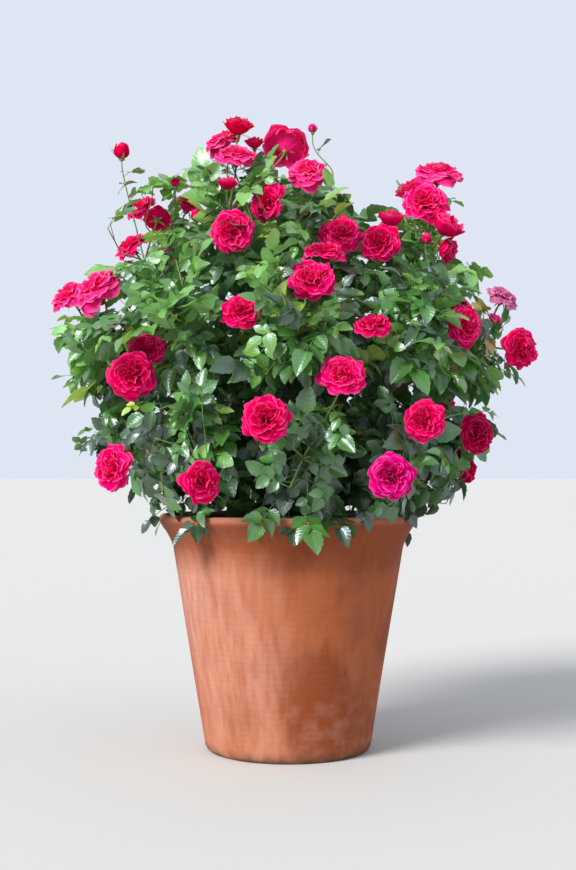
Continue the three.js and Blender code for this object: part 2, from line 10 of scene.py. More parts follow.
import bmesh
import bpy
import numpy as np
from bpy.props import FloatProperty, FloatVectorProperty, IntProperty, PointerProperty
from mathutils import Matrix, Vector, noise


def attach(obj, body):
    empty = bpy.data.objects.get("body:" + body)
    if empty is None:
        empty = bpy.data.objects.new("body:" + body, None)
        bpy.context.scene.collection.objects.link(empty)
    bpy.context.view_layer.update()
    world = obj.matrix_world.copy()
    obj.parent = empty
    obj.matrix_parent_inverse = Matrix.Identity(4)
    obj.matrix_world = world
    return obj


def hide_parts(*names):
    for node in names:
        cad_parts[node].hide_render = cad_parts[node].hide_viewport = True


bl_info = {
    "name": "Potted rose bush",
    "version": (1, 0, 0),
    "blender": (4, 5, 0),
    "location": "3D View > Sidebar > Rose Bush",
    "description": "Dresses the packed rose bush with bark, shoots, leaves, flowers and its terracotta pot",
    "category": "Object",
}

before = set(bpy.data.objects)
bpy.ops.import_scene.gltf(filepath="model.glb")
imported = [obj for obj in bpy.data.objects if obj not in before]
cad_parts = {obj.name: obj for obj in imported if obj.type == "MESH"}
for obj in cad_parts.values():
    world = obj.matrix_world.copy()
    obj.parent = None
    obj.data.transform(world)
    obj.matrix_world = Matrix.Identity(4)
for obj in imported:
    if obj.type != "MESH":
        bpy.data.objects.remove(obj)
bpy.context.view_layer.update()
MM = 0.001

# ---- Named sizes, in millimetres, as in the part's source ------------------------------------------

POT = SimpleNamespace(
    height=450,
    rim_radius=250,
    neck_radius=221,
    neck_height=385,
    foot_radius=158,
    heel=9,
    wall=20,
    floor=28,
    lip=11,
)
SOIL = SimpleNamespace(top=412, dome=9)
UNION = SimpleNamespace(height=44, flare_radius=50, top_radius=37)
CLEAR = 0.3
CANE = SimpleNamespace(foot=7.4, tip=3.4)
UPRIGHT = SimpleNamespace(foot=6.4, tip=3.2)
SIDE_BOUGH = SimpleNamespace(foot=4.4, tip=2.8)
NECK = 34
# Leaves on a kind of stem: the distance between them along it, how far their spots stay apart, the tries for
# each, where the first stands on a later stem and on a mass's first one, the least size and what is added
# to it in an easy place, and the gap that they keep from other stems.
LEAF = SimpleNamespace(
    length=122, width=86, spacing=20, apart=17, tries=16, first=(18, 26), size=(0.55, 0.55), gap=9
)
TWIGS_PER_MASS = 7
ORDERS = 3
ENTRY = 62
FORK = 0.42
DETOUR = SimpleNamespace(tries=120, least=15, most=85)
DEPTH_SHARE = 0.92
GOLDEN_ANGLE = math.radians(137.508)
GOLDEN_SHARE = 0.618034
UP = np.array([0.0, 0.0, 1.0])
CORE = np.array([0.0, 0.0, 640.0])
ONLOOKER = np.array([0.0, -2600.0, 540.0])

# How far the foliage reaches to the left and to the right at each height, and the tiers that it lies in.
OUTLINE = np.array(
    [
        [395, 240, 240],
        [470, 320, 345],
        [560, 420, 420],
        [650, 440, 440],
        [720, 485, 475],
        [820, 480, 475],
        [900, 400, 440],
        [960, 385, 370],
        [1030, 375, 335],
        [1100, 330, 300],
        [1160, 190, 200],
        [1205, 60, 60],
    ],
    float,
)
TIERS = SimpleNamespace(start=708, tall=112, around=4, depth=0.12)

# Ways that a flower looks.
FRONT = (0, -1, 0.12)
FRONT_UP = (0, -0.8, 0.6)
LEFT_FRONT = (-0.62, -0.75, 0.1)
RIGHT_FRONT = (0.6, -0.8, 0.0)
LEFT_UP = (-0.55, -0.35, 0.75)
RIGHT_UP = (0.45, -0.35, 0.8)
SKY = (0.05, -0.3, 0.95)
BACK_UP = (0.1, 0.72, 0.62)
DOWN_RIGHT = (0.75, -0.45, -0.35)


def unit(vector):
    return vector / math.sqrt(vector @ vector)


def cross(a, b):
    (ax, ay, az), (bx, by, bz) = a, b
    return np.array([ay * bz - az * by, az * bx - ax * bz, ax * by - ay * bx])


def flower(form, x, y, z, across, faces, tint="crimson"):
    """A flower: its form, its middle, how wide it is, the way it looks and its tint."""
    at = np.array([x, y, z], float)
    return SimpleNamespace(form=form, at=at, across=across, faces=unit(np.array(faces, float)), tint=tint)


rosette = functools.partial(flower, "rosette")
cup = functools.partial(flower, "cup")
bud = functools.partial(flower, "bud")

# The flowers of the best side, from the foot of the crown to its top. Fresh ones are crimson, and they turn
# to pink and mauve as they age.
SHOW_FLOWERS = [
    rosette(-145, -345, 515, 74, RIGHT_FRONT),
    rosette(175, -335, 525, 80, FRONT, "magenta"),
    rosette(-315, -190, 540, 84, LEFT_FRONT, "cerise"),
    rosette(345, -150, 600, 76, RIGHT_FRONT, "garnet"),
    rosette(-35, -370, 620, 84, FRONT),
    rosette(235, -295, 620, 76, FRONT),
    rosette(92, -360, 694, 86, FRONT_UP, "cerise"),
    rosette(-277, -230, 702, 86, FRONT),
    rosette(-255, -165, 754, 74, FRONT_UP, "cerise"),
    rosette(440, -60, 765, 82, RIGHT_FRONT),
    rosette(146, -300, 782, 68, SKY),
    rosette(322, -170, 796, 80, RIGHT_FRONT, "cerise"),
    rosette(-80, -310, 806, 72, FRONT_UP),
    cup(392, -62, 822, 26, RIGHT_UP, "magenta"),
    rosette(414, -30, 866, 62, RIGHT_UP, "faded"),
    rosette(-360, -80, 876, 92, LEFT_UP, "pink"),
    rosette(-424, -15, 870, 74, LEFT_UP, "pink"),
    rosette(40, -265, 868, 88, FRONT_UP, "cerise"),
    rosette(67, -195, 924, 78, SKY, "cerise"),
    rosette(172, -125, 955, 78, FRONT),
    cup(308, -30, 958, 48, DOWN_RIGHT, "crimson"),
    bud(260, -95, 966, 22, SKY),
    rosette(-101, -172, 968, 84, FRONT, "cerise"),
    rosette(98, -112, 975, 86, FRONT_UP, "cerise"),
    rosette(-312, 60, 978, 70, LEFT_UP, "cerise"),
    cup(303, -64, 1000, 62, RIGHT_UP),
    cup(194, -85, 1010, 48, SKY),
    bud(-173, -82, 1012, 24, SKY),
    rosette(-252, -12, 1022, 54, BACK_UP, "cerise"),
    rosette(-40, -62, 1044, 76, LEFT_FRONT),
    rosette(-288, 24, 1048, 70, LEFT_UP, "cerise"),
    rosette(267, -22, 1050, 94, FRONT_UP, "cerise"),
    rosette(-196, 42, 1056, 62, RIGHT_UP, "cerise"),
    cup(-113, -122, 1068, 36, SKY),
    bud(-258, -52, 1084, 18, SKY),
    bud(-214, -60, 1080, 18, SKY),
    cup(238, 28, 1086, 50, LEFT_UP),
    rosette(38, -22, 1108, 80, FRONT_UP, "pink"),
    rosette(298, 52, 1120, 94, SKY, "pink"),
    rosette(-100, -22, 1138, 80, SKY, "pink"),
    bud(-320, -30, 1146, 32, SKY, "scarlet"),
    rosette(-3, 27, 1172, 88, BACK_UP, "pink"),
    cup(-66, 29, 1180, 34, SKY),
    rosette(-131, 42, 1182, 70, LEFT_UP, "pink"),
    bud(48, -10, 1196, 18, SKY, "magenta"),
    cup(-96, 0, 1206, 52, SKY, "scarlet"),
]
FAR_FLOWERS = SimpleNamespace(count=15, start=14, end=166, low=540, high=1075, across=82)
FAR_TINTS = ("crimson", "cerise", "crimson", "pink", "garnet")

# Each mass has its middle, its reach and the limb that carries it.
MASSES = [
    SimpleNamespace(limb=name, at=np.array([x, y, z], float), reach=reach)
    for name, x, y, z, reach in (
        ("front_low", 25, -262, 560, 168),
        ("front_left_low", -155, -225, 570, 168),
        ("left_low", -290, -30, 585, 160),
        ("back_left_low", -170, 205, 575, 165),
        ("back_right_low", 165, 215, 575, 165),
        ("right_low", 300, 15, 585, 165),
        ("front_right_low", 205, -205, 570, 168),
        ("front", 15, -240, 765, 165),
        ("front_left", -185, -170, 770, 165),
        ("left", -345, -5, 750, 160),
        ("back_left", -215, 195, 775, 165),
        ("back", -10, 250, 765, 165),
        ("back_right", 215, 195, 775, 165),
        ("right", 365, -10, 770, 165),
        ("front_right", 215, -175, 775, 165),
        ("top_left", -270, 0, 935, 140),
        ("top_front_left", -95, -80, 950, 150),
        ("top_front", 80, -95, 940, 150),
        ("top_right", 265, 0, 940, 145),
        ("top_back", 0, 115, 945, 155),
    )
]
MASS_NODES = ["foliage_" + mass.limb for mass in MASSES]
OUTER_RING = SimpleNamespace(
    radius=27,
    rise=0.62,
    size=CANE,
    canes=("right", "back_right", "back", "back_left", "left", "front_left", "front", "front_right"),
)
INNER_RING = SimpleNamespace(
    radius=12.5,
    rise=0.75,
    size=UPRIGHT,
    canes=("top_right", "top_back", "top_left", "top_front_left", "top_front"),
)
SIDE_BOUGHS = {name: name + "_low" for name in OUTER_RING.canes if name != "back"}

# The finer growth that the part's solids leave out: sprigs on every shoot, and smaller leaves in between.
SPRIG = SimpleNamespace(spacing=34, least=34, most=82, tries=9)
FILL = SimpleNamespace(spacing=12, apart=9, tries=9, first=(24, 20), size=(0.48, 0.45), gap=4)
LATER_FILL = SimpleNamespace(spacing=12, apart=9, tries=9, first=(10, 10), size=(0.35, 0.45), gap=4)
SPRIG_FILL = SimpleNamespace(spacing=17, apart=9, tries=10, first=(14, 14), size=(0.45, 0.42), gap=4)
SPUR = SimpleNamespace(spacing=26, least=28, most=95, tries=10)
SEEDS = SimpleNamespace(first_mass=101, mass_step=17, far_flowers=4177, fill=7001)
# Stems are numbered by the anchor that they come from. Sprigs, spurs and rim twigs have numbers of their own.
SPRIG_ORIGIN, SPUR_ORIGIN, RIM_ORIGIN = 1000, 2000, 3000
# Where small leaves stand on a long flower stem: how far below its neck.
UPPER_LEAVES = (14, 40, 68, 98, 130, 164)
# Gaps in the top of the crown, as anyone who looks at the best side sees them: middle and half size.
OPEN_AIR = [(158, 1152, 66, 96)]
# Leaves that lie over the pot's rim: the way round from the right, in degrees, and the length of the leaf.
RIM_LEAVES = [
    (229, 62), (234, 92), (259, 66), (264, 94), (270, 72), (276, 110), (287, 90), (293, 74), (304, 58),
    (20, 70), (28, 96), (62, 60), (105, 88), (112, 66), (158, 92), (200, 66), (332, 64),
]


# ---- The growth rule -----------------------------------------------------------------------------------


def draws_from(seed):
    """Repeatable draws between 0 and 1."""
    state = seed

    def draw():
        nonlocal state
        state = state * 48271 % 2147483647
        return state / 2147483647

    return draw


def lerp(a, b, share):
    """The value that lies a share of the way from a to b."""
    return a + (b - a) * share


def square_to(heading):
    """Two directions square to a heading, the first of them level where it can be."""
    side = cross(UP, heading)
    if side @ side < 1e-6:
        side = np.array([1.0, 0.0, 0.0])
    side = unit(side)
    return side, unit(cross(heading, side))


def bent(t, foot, knee, tip):
    """Points at the shares t of a quadratic curve."""
    return (1 - t) ** 2 * foot + 2 * t * (1 - t) * knee + t**2 * tip


def lengths_along(points):
    """The length of a line up to each of its points."""
    return np.concatenate([[0], np.cumsum(np.linalg.norm(np.diff(points, axis=0), axis=1))])


def points_at(at, lengths, points):
    """The points of a line at the given lengths along it."""
    return np.stack([np.interp(at, lengths, points[:, k]) for k in range(3)], axis=1)


class Arc:
    """A quadratic curve that is walked by its length."""

    def __init__(self, foot, knee, tip):
        self.ends = foot, knee, tip
        self.shares = np.linspace(0, 1, 201)
        self.lengths = lengths_along(self.at(self.shares))

    def at(self, t):
        return bent(np.asarray(t)[..., None], *self.ends)

    def share_for(self, u):
        return np.interp(np.asarray(u) * self.lengths[-1], self.lengths, self.shares)

    def along(self, u):
        return self.at(self.share_for(u))

    def heading(self, u):
        t = self.share_for(u)
        return unit(self.at(min(t + 1e-4, 1.0)) - self.at(max(t - 1e-4, 0.0)))


def pot_radius_at(height):
    """The outside radius of the wall: a straight taper, then a collar that flares out."""
    collar = POT.height - POT.lip - POT.neck_height
    share = np.clip((height - POT.neck_height) / collar, 0, 1)
    flare = 1 - np.cos(share * math.pi / 2)
    below = POT.foot_radius + (POT.neck_radius - POT.foot_radius) / POT.neck_height * height
    above = POT.neck_radius + (POT.rim_radius - POT.neck_radius) * lerp(share, flare, 0.55)
    return np.where(height <= POT.neck_height, below, above)


def inside_radius_at(height):
    """The inside radius follows the taper, then runs straight out to the rim."""
    share = (height - POT.neck_height) / (POT.height - POT.lip - POT.neck_height)
    above = lerp(POT.neck_radius, POT.rim_radius, share)
    return np.where(height <= POT.neck_height, pot_radius_at(height), above) - POT.wall


def outline_reach(points):
    """How far the outline reaches at each point's height and bearing."""
    x, y, z = points.T
    left, right = (np.interp(z, OUTLINE[:, 0], OUTLINE[:, hand]) for hand in (1, 2))
    bearing = np.arctan2(y / DEPTH_SHARE, x)
    tier = np.cos(2 * math.pi * (z - TIERS.start) / TIERS.tall + TIERS.around * bearing)
    return lerp(left, right, (1 + np.cos(bearing)) / 2) * (1 - TIERS.depth * (0.5 - 0.5 * tier))


def in_outline(points):
    """True where all the points lie inside the crown's outline."""
    x, y, z = points.T
    inside = np.hypot(x, y / DEPTH_SHARE) < outline_reach(points)
    return bool(np.all((z >= OUTLINE[0, 0]) & (z < OUTLINE[-1, 0]) & inside))


def clear_of_pot(points, gap):
    """True where all the points keep a gap from the pot and the compost."""
    radius, z = np.hypot(points[:, 0], points[:, 1]), points[:, 2]
    above = z > POT.height + gap
    outside = radius > pot_radius_at(np.minimum(z + gap, POT.height)) + gap
    inside = (z > SOIL.top + gap) & (radius < inside_radius_at(z - gap) - gap)
    return bool(np.all(above | outside | inside))


def to_segments(points, starts, ends):
    """Distances from each point to each straight run."""
    run = ends - starts
    offset = points[:, None] - starts
    share = np.clip(np.einsum("psk,sk->ps", offset, run) / np.einsum("sk,sk->s", run, run), 0, 1)
    return np.linalg.norm(offset - share[..., None] * run, axis=2)


UNION_FOOT = SOIL.top + CLEAR
UNION_TOP = UNION_FOOT + UNION.height


def curve_to(goal, foot, knee):
    """A curve that stops short of the middle of its mass."""
    return Arc(foot, knee, goal - unit(goal - knee) * ENTRY)


@functools.cache
def grown_limbs():
    """The canes in their two rings, and the side boughs that leave them."""
    middles = {mass.limb: mass.at for mass in MASSES}
    limbs = {}
    for ring in (OUTER_RING, INNER_RING):
        for i, name in enumerate(ring.canes):
            bearing = 2 * math.pi * i / len(ring.canes)
            goal = middles[name]
            foot = np.array([ring.radius * math.cos(bearing), ring.radius * math.sin(bearing), UNION_TOP - 4])
            knee = np.array([0.3 * goal[0], 0.3 * goal[1], lerp(UNION_TOP, goal[2], ring.rise)])
            cane = SimpleNamespace(node="cane_" + name, curve=curve_to(goal, foot, knee), size=ring.size)
            limbs[name] = cane
            if name in SIDE_BOUGHS:
                low = SIDE_BOUGHS[name]
                foot, goal = cane.curve.along(FORK), middles[low]
                knee = lerp(foot, goal, 0.45) + np.array([0, 0, 26])
                curve = curve_to(goal, foot, knee)
                limbs[low] = SimpleNamespace(node="bough_" + low, curve=curve, size=SIDE_BOUGH)
    return limbs


@functools.cache
def limb_runs():
    """Every limb as straight runs: where they start and end, and their girth."""
    starts, ends, girths = [], [], []
    for limb in grown_limbs().values():
        points = limb.curve.along(np.linspace(0, 1, 15))
        starts.append(points[:-1])
        ends.append(points[1:])
        girths += [limb.size.foot] * 14
    return np.concatenate(starts), np.concatenate(ends), np.array(girths, float)


def clear_of_limbs(points, gap):
    """True where all the points keep a gap from every cane and bough."""
    starts, ends, girths = limb_runs()
    low, high = points.min(axis=0) - gap - 8, points.max(axis=0) + gap + 8
    near = np.all((np.minimum(starts, ends) < high) & (np.maximum(starts, ends) > low), axis=1)
    return not near.any() or bool(np.all(to_segments(points, starts[near], ends[near]) > girths[near] + gap))


MIDDLES = np.array([mass.at for mass in MASSES])
SPANS = 2 * np.linalg.norm(MIDDLES[:, None] - MIDDLES, axis=2)


def in_own_space(points, own, margin):
    """A mass keeps to the points that are nearer to its own middle than to any other."""
    away = ((points[:, None] - MIDDLES) ** 2).sum(axis=2)
    others = np.arange(len(MASSES)) != own
    lead = (away[:, others] - away[:, own, None]) / SPANS[own, others]
    return bool(np.all(lead > margin))


@functools.cache
def all_flowers():
    """Every flower with the foot of its stalk, its mass and the way it looks."""
    flowers = [SimpleNamespace(**vars(each)) for each in SHOW_FLOWERS]
    draw = draws_from(SEEDS.far_flowers)
    far = FAR_FLOWERS
    for i in range(far.count):
        tier = i * GOLDEN_SHARE % 1
        bearing = math.radians(far.start + (far.end - far.start) * (i + 0.5) / far.count)
        height = far.low + (far.high - far.low) * tier
        swell = math.sin(math.pi * (0.28 + 0.6 * tier))
        reach = 205 + 215 * swell + 20 * draw()
        x, y, z = reach * math.cos(bearing), reach * DEPTH_SHARE * math.sin(bearing), height + 30 * draw()
        faces = (math.cos(bearing), math.sin(bearing), 0.25 + 0.9 * tier)
        across = far.across * (0.86 + 0.22 * draw())
        flowers.append(rosette(x, y, z, across, faces, FAR_TINTS[i % len(FAR_TINTS)]))
    for number, each in enumerate(flowers):
        each.shown = number < len(SHOW_FLOWERS)
        each.neck = each.at - each.faces * NECK
        each.owner = int(np.argmin(np.linalg.norm(MIDDLES - each.neck, axis=1)))
        while not in_own_space(each.neck[None], each.owner, 7):
            each.neck = lerp(each.neck, MIDDLES[each.owner], 0.03)
        each.faces = unit(each.at - each.neck)
    return flowers


@functools.cache
def flower_arrays():
    """What the flowers are tested for, as arrays."""
    flowers = all_flowers()
    return SimpleNamespace(
        at=np.array([each.at for each in flowers]),
        half=np.array([each.across / 2 for each in flowers]),
        faces=np.array([each.faces for each in flowers]),
        owner=np.array([each.owner for each in flowers]),
        opened=np.array([each.form != "bud" for each in flowers]),
        shown=np.array([each.shown for each in flowers]),
        seen=np.array([unit(ONLOOKER - each.at) for each in flowers]),
    )


def in_beam(offset, ways, reach, width):
    """True where an offset lies ahead along a direction, within the given reach and to the side of it."""
    ahead = np.einsum("pfk,fk->pf", offset, ways)
    aside = np.linalg.norm(offset - ahead[..., None] * ways, axis=2)
    return (ahead > 0) & (ahead < reach) & (aside < width)


def clear_of_flowers(points, own, gap):
    """Foliage keeps off every flower: off the whole of it, out of the space that it looks into, and out of
    the way of anyone who looks at the best side."""
    heads = flower_arrays()
    offset = points[:, None] - heads.at
    away = np.linalg.norm(offset, axis=2)
    mine = heads.owner == own
    if np.any(away < heads.half * np.where(mine, 0.8, 1.08) + np.where(mine, 0, gap)):
        return False
    if np.any(heads.shown & in_beam(offset, heads.seen, math.inf, heads.half * 0.8)):
        return False
    return not np.any(heads.opened & in_beam(offset, heads.faces, 75, heads.half * 0.85))


def leafy_tips(own, draw):
    """Tips for the leafy twigs: each is the best of many draws, far from the others and towards the outside."""
    taken = [each.at for each in all_flowers() if each.owner == own]
    tips = []
    middle, reach = MASSES[own].at, MASSES[own].reach
    outward = unit(middle - CORE)
    while len(tips) < TWIGS_PER_MASS:
        best, best_score = None, 0
        for _ in range(60):
            turn = 2 * math.pi * draw()
            level = 2 * draw() - 1
            share = 0.5 + 0.45 * draw()
            flat = math.sqrt(1 - level * level)
            way = np.array([flat * math.cos(turn), flat * math.sin(turn), level])
            tip = middle + way * share * reach
            spot = tip[None]
            if not (in_outline(spot) and in_own_space(spot, own, 9) and clear_of_pot(spot, 16)):
                continue
            if not (clear_of_limbs(spot, 9) and clear_of_flowers(spot, own, 8)):
                continue
            room = min([160.0] + [float(np.linalg.norm(other - tip)) for other in taken + tips])
            score = room * (1 + 0.45 * (way @ outward))
            if score > best_score:
                best, best_score = tip, score
        if best is None:
            break
        tips.append(best)
    return tips


def open_run(start, end, own, held):
    """True where a straight run stays in the mass's space and clear of everything solid."""
    steps = math.ceil(np.linalg.norm(end - start) / 8)
    if not steps:
        return True
    points = lerp(start, end, (np.arange(1, steps + 1) / steps)[:, None])
    if not (in_own_space(points, own, 3) and clear_of_pot(points, 6) and clear_of_limbs(points, 4)):
        return False
    heads = flower_arrays()
    near = np.linalg.norm(points[:, None] - heads.at, axis=2) < heads.half + 4
    if held is not None:
        near[:, held] = False
    return not near.any()


def detours(start, end, draw):
    """Places to bend a shoot that can't go straight."""
    side, over = square_to(unit(end - start))
    knees = []
    for _ in range(DETOUR.tries):
        turn = 2 * math.pi * draw()
        offset = lerp(DETOUR.least, DETOUR.most, draw())
        middle = lerp(start, end, 0.25 + 0.6 * draw())
        knees.append(middle + side * offset * math.cos(turn) + over * offset * math.sin(turn))
    return knees


def run_axes(start, end):
    """A straight run's length, its heading and two directions square to it."""
    length = np.linalg.norm(end - start)
    heading = (end - start) / length
    return length, heading, *square_to(heading)


def grow_shoots(own, draw):
    """Shoots are bent lines: the stem first, then each from the shoot that costs it least length."""
    curve = grown_limbs()[MASSES[own].limb].curve
    heading = curve.heading(1.0)
    foot = curve.along(1.0) + heading * CLEAR
    heart = foot + heading * (ENTRY + 12)
    shoots, anchors = [], []

    def add_shoot(points, order, held, origin):
        shoots.append(SimpleNamespace(points=points, order=order, held=held, origin=origin))
        if order < ORDERS - 1:
            for share in (0.45, 0.8) if order else (0.3, 0.55, 0.8, 0.98):
                anchors.append((lerp(points[0], points[1], share), order + 1))

    def reach_for(goal, held, knees):
        best = None
        for origin, (at, order) in enumerate(anchors):
            for knee in knees:
                points = [at, goal] if knee is None else [at, knee, goal]
                cost = sum(np.linalg.norm(b - a) for a, b in zip(points, points[1:])) + 30 * order
                if best and cost >= best.cost:
                    continue
                if all(open_run(a, b, own, held) for a, b in zip(points, points[1:])):
                    best = SimpleNamespace(points=points, order=order, cost=cost, origin=origin)
        return best

    add_shoot([foot, heart], 0, None, -1)
    flowers = all_flowers()
    mine = [i for i, each in enumerate(flowers) if each.owner == own]
    for held in sorted(mine, key=lambda i: np.linalg.norm(flowers[i].at - foot)):
        neck = flowers[held].neck
        path = reach_for(neck, held, [None]) or reach_for(neck, held, detours(heart, neck, draw))
        if path:
            add_shoot(path.points + [flowers[held].at], path.order, held, path.origin)
    for tip in sorted(leafy_tips(own, draw), key=lambda tip: np.linalg.norm(tip - foot)):
        path = reach_for(tip, None, [None])
        if path:
            add_shoot(path.points, path.order, None, path.origin)
    return shoots


# Points spread over a leaf, as shares of its length and of its half width.
LEAF_SPOTS = np.array(
    [[0.3, 0], [0.55, 0], [0.78, 0], [1, 0], [0.42, 0.9], [0.42, -0.9]]
    + [[0.7, 0.55], [0.7, -0.55], [0.24, 0.5], [0.24, -0.5]]
)


def leaf_spots(leaf):
    """Gives a leaf its axes and the points spread over it, and returns the points."""
    leaf.across = unit(cross(leaf.face, leaf.way))
    leaf.up = cross(leaf.way, leaf.across)
    length, half_width = LEAF.length * leaf.size, LEAF.width * leaf.size / 2
    leaf.spots = leaf.root + LEAF_SPOTS[:, :1] * length * leaf.way + LEAF_SPOTS[:, 1:] * half_width * leaf.across
    return leaf.spots


def leaf_fits(leaf, own, leaves, apart):
    """True where a leaf stays in the outline and in its mass's space, clear of all else."""
    spots = leaf_spots(leaf)
    if not (in_outline(spots) and in_own_space(spots, own, 2.5) and clear_of_pot(spots, 7)):
        return False
    if not (clear_of_flowers(spots, own, 5) and clear_of_limbs(spots, 6)):
        return False
    if not leaves:
        return True
    others = np.concatenate([other.spots for other in leaves])
    return bool(((others[:, None] - spots) ** 2).sum(axis=2).min() > apart**2)


def clear_of_shoots(leaf, bearer, runs, gap, steps=(0,)):
    """A leaf keeps off every shoot but the one that bears it."""
    away = to_segments(leaf.spots, runs.starts, runs.ends)
    mine = (runs.origin == bearer) & np.isin(runs.step, steps)
    return bool(np.all((away > gap) | mine))


def runs_of(shoots):
    """The straight runs of a mass's shoots, each with the anchor it comes from and its place in its shoot."""
    rows = [(a, b, s.origin, i) for s in shoots for i, (a, b) in enumerate(zip(s.points, s.points[1:]))]
    starts, ends, origin, step = zip(*rows)
    origin, step = np.array(origin), np.array(step)
    # a shoot without a bend has one run, and one with a bend clears its own second run
    step = np.where(step == 1, 1, 0)
    return SimpleNamespace(starts=np.array(starts), ends=np.array(ends), origin=origin, step=step)


def leaves_on(shoots, own, draw, leaves, kind, all_shoots):
    """Leaves stand alternately along each shoot, turned out and up to the light."""
    runs = runs_of(all_shoots)
    for shoot in shoots:
        start, end = shoot.points[:2]
        length, heading, side, over = run_axes(start, end)
        turn = 2 * math.pi * draw()
        last = length - (10 if shoot.held is not None else 0)
        along = kind.first[0] if shoot.order else kind.first[1]
        while along <= last:
            turn += GOLDEN_ANGLE
            root = start + heading * along
            outward = unit(root - CORE)
            for k in range(kind.tries):
                spin = turn + (2 * math.pi * draw() if k else 0)
                ease = 1 - k / kind.tries
                way = side * math.cos(spin) + over * math.sin(spin)
                way = way + heading * 0.5 * ease + outward * 0.5 * ease
                way[2] += 0.2 - 0.5 * draw()
                face = UP * 0.45 + outward * 0.9
                face[0] += 0.7 * (draw() - 0.5)
                face[1] += 0.7 * (draw() - 0.5)
                size = (kind.size[0] + kind.size[1] * ease) * (0.9 + 0.2 * draw())
                leaf = SimpleNamespace(root=root, way=unit(way), face=face, size=size)
                if not leaf_fits(leaf, own, leaves, kind.apart):
                    continue
                if clear_of_shoots(leaf, shoot.origin, runs, kind.gap, getattr(shoot, "steps", (0,))):
                    leaves.append(leaf)
                    break
            along += kind.spacing


def grow_sprigs(shoots, own, draw):
    """Short side twigs, the finest order, wherever a shoot has room beside it."""
    sprigs = []
    for shoot in shoots:
        start, end = shoot.points[:2]
        length, heading, side, over = run_axes(start, end)
        turn = 2 * math.pi * draw()
        along = SPRIG.spacing * (0.5 + 0.4 * draw())
        while along < length - 12:
            turn += GOLDEN_ANGLE
            foot = start + heading * along
            outward = unit(foot - CORE)
            for k in range(SPRIG.tries):
                spin = turn + (2 * math.pi * draw() if k else 0)
                way = unit(side * math.cos(spin) + over * math.sin(spin) + heading * 0.55 + outward * 0.5)
                tip = foot + way * lerp(SPRIG.most, SPRIG.least, (k + draw()) / (SPRIG.tries + 1))
                spot = tip[None]
                if not (in_outline(spot) and in_own_space(spot, own, 10) and clear_of_flowers(spot, own, 8)):
                    continue
                if not open_run(foot, tip, own, None):
                    continue
                runs = runs_of(shoots + sprigs)
                outer = lerp(foot, tip, np.array([0.5, 0.75, 1.0])[:, None])
                if to_segments(outer, runs.starts, runs.ends).min() < 13:
                    continue
                origin = SPRIG_ORIGIN + len(sprigs)
                sprigs.append(SimpleNamespace(points=[foot, tip], order=ORDERS, held=None, origin=origin))
                break
            along += SPRIG.spacing
    return sprigs


def end_leaf(shoot, own, draw, leaves, runs):
    """A leaf that carries a twig's line on at its tip; returns whether there was room for one."""
    start, end = shoot.points[-2:]
    heading = unit(end - start)
    outward = unit(end - CORE)
    for k in range(10):
        way = heading + 0.35 * (k + 1) / 10 * np.array([draw() - 0.5, draw() - 0.5, draw() - 0.3]) * 4
        face = UP * 0.6 + outward * 0.7 + np.array([draw() - 0.5, draw() - 0.5, 0]) * 0.6
        size = lerp(0.95, 0.4, k / 9)
        leaf = SimpleNamespace(root=end, way=unit(way), face=face, size=size)
        if leaf_fits(leaf, own, leaves, 8) and clear_of_shoots(leaf, shoot.origin, runs, 3):
            leaves.append(leaf)
            return True
    return False


def grow_spurs(masses, draw):
    """Short leafy spurs on the canes themselves, which fill the middle of the crown."""
    for limb in grown_limbs().values():
        count = int(limb.curve.lengths[-1] / SPUR.spacing)
        turn = 2 * math.pi * draw()
        for foot in limb.curve.along((np.arange(count) + 0.5) / count):
            turn += GOLDEN_ANGLE
            if foot[2] < 490:
                continue
            for k in range(SPUR.tries):
                spin = turn + (2 * math.pi * draw() if k else 0)
                way = unit(np.array([math.cos(spin), math.sin(spin), 0.2 + 0.6 * draw()]))
                tip = foot + way * lerp(SPUR.most, SPUR.least, (k + draw()) / (SPUR.tries + 1))
                own = int(np.argmin(np.linalg.norm(MIDDLES - tip, axis=1)))
                mass, spot = masses[own], tip[None]
                if not (in_outline(spot) and in_own_space(spot, own, 6) and clear_of_flowers(spot, own, 8)):
                    continue
                runs = runs_of(mass.stems)
                outer = lerp(foot, tip, np.array([0.4, 0.7, 1.0])[:, None])
                if to_segments(outer, runs.starts, runs.ends).min() < 9:
                    continue
                origin = SPUR_ORIGIN + len(mass.stems)
                spur = SimpleNamespace(points=[foot, tip], order=ORDERS, held=None, origin=origin)
                if end_leaf(spur, own, draw, mass.leaves, runs):
                    mass.stems.append(spur)
                    mass.sprigs.append(spur)
                    leaves_on([spur], own, draw, mass.leaves, SPRIG_FILL, mass.stems)
                    break


def trim_bare_tips(mass):
    """Draws each flowerless stem only as far as the last leaf or side stem that it bears."""
    borne = np.array([leaf.root for leaf in mass.leaves] + [stem.points[0] for stem in mass.stems])
    for stem in mass.stems:
        if stem.held is not None:
            continue
        start, end = stem.points[-2:]
        run = end - start
        share = (borne - start) @ run / (run @ run)
        near = np.linalg.norm(start + share[:, None] * run - borne, axis=1) < 1
        used = share[near & (share > 0) & (share < 1.001)]
        stem.points[-1] = start + run * min(1, max([0.2, *used]))


def in_open_air(points):
    """True for each point that is seen in a gap in the top of the crown."""
    nearer = -ONLOOKER[1] / (points[:, 1] - ONLOOKER[1])
    x, _, z = (ONLOOKER + (points - ONLOOKER) * nearer[:, None]).T
    return np.any([((x - cx) / rx) ** 2 + ((z - cz) / rz) ** 2 < 1 for cx, cz, rx, rz in OPEN_AIR], axis=0)


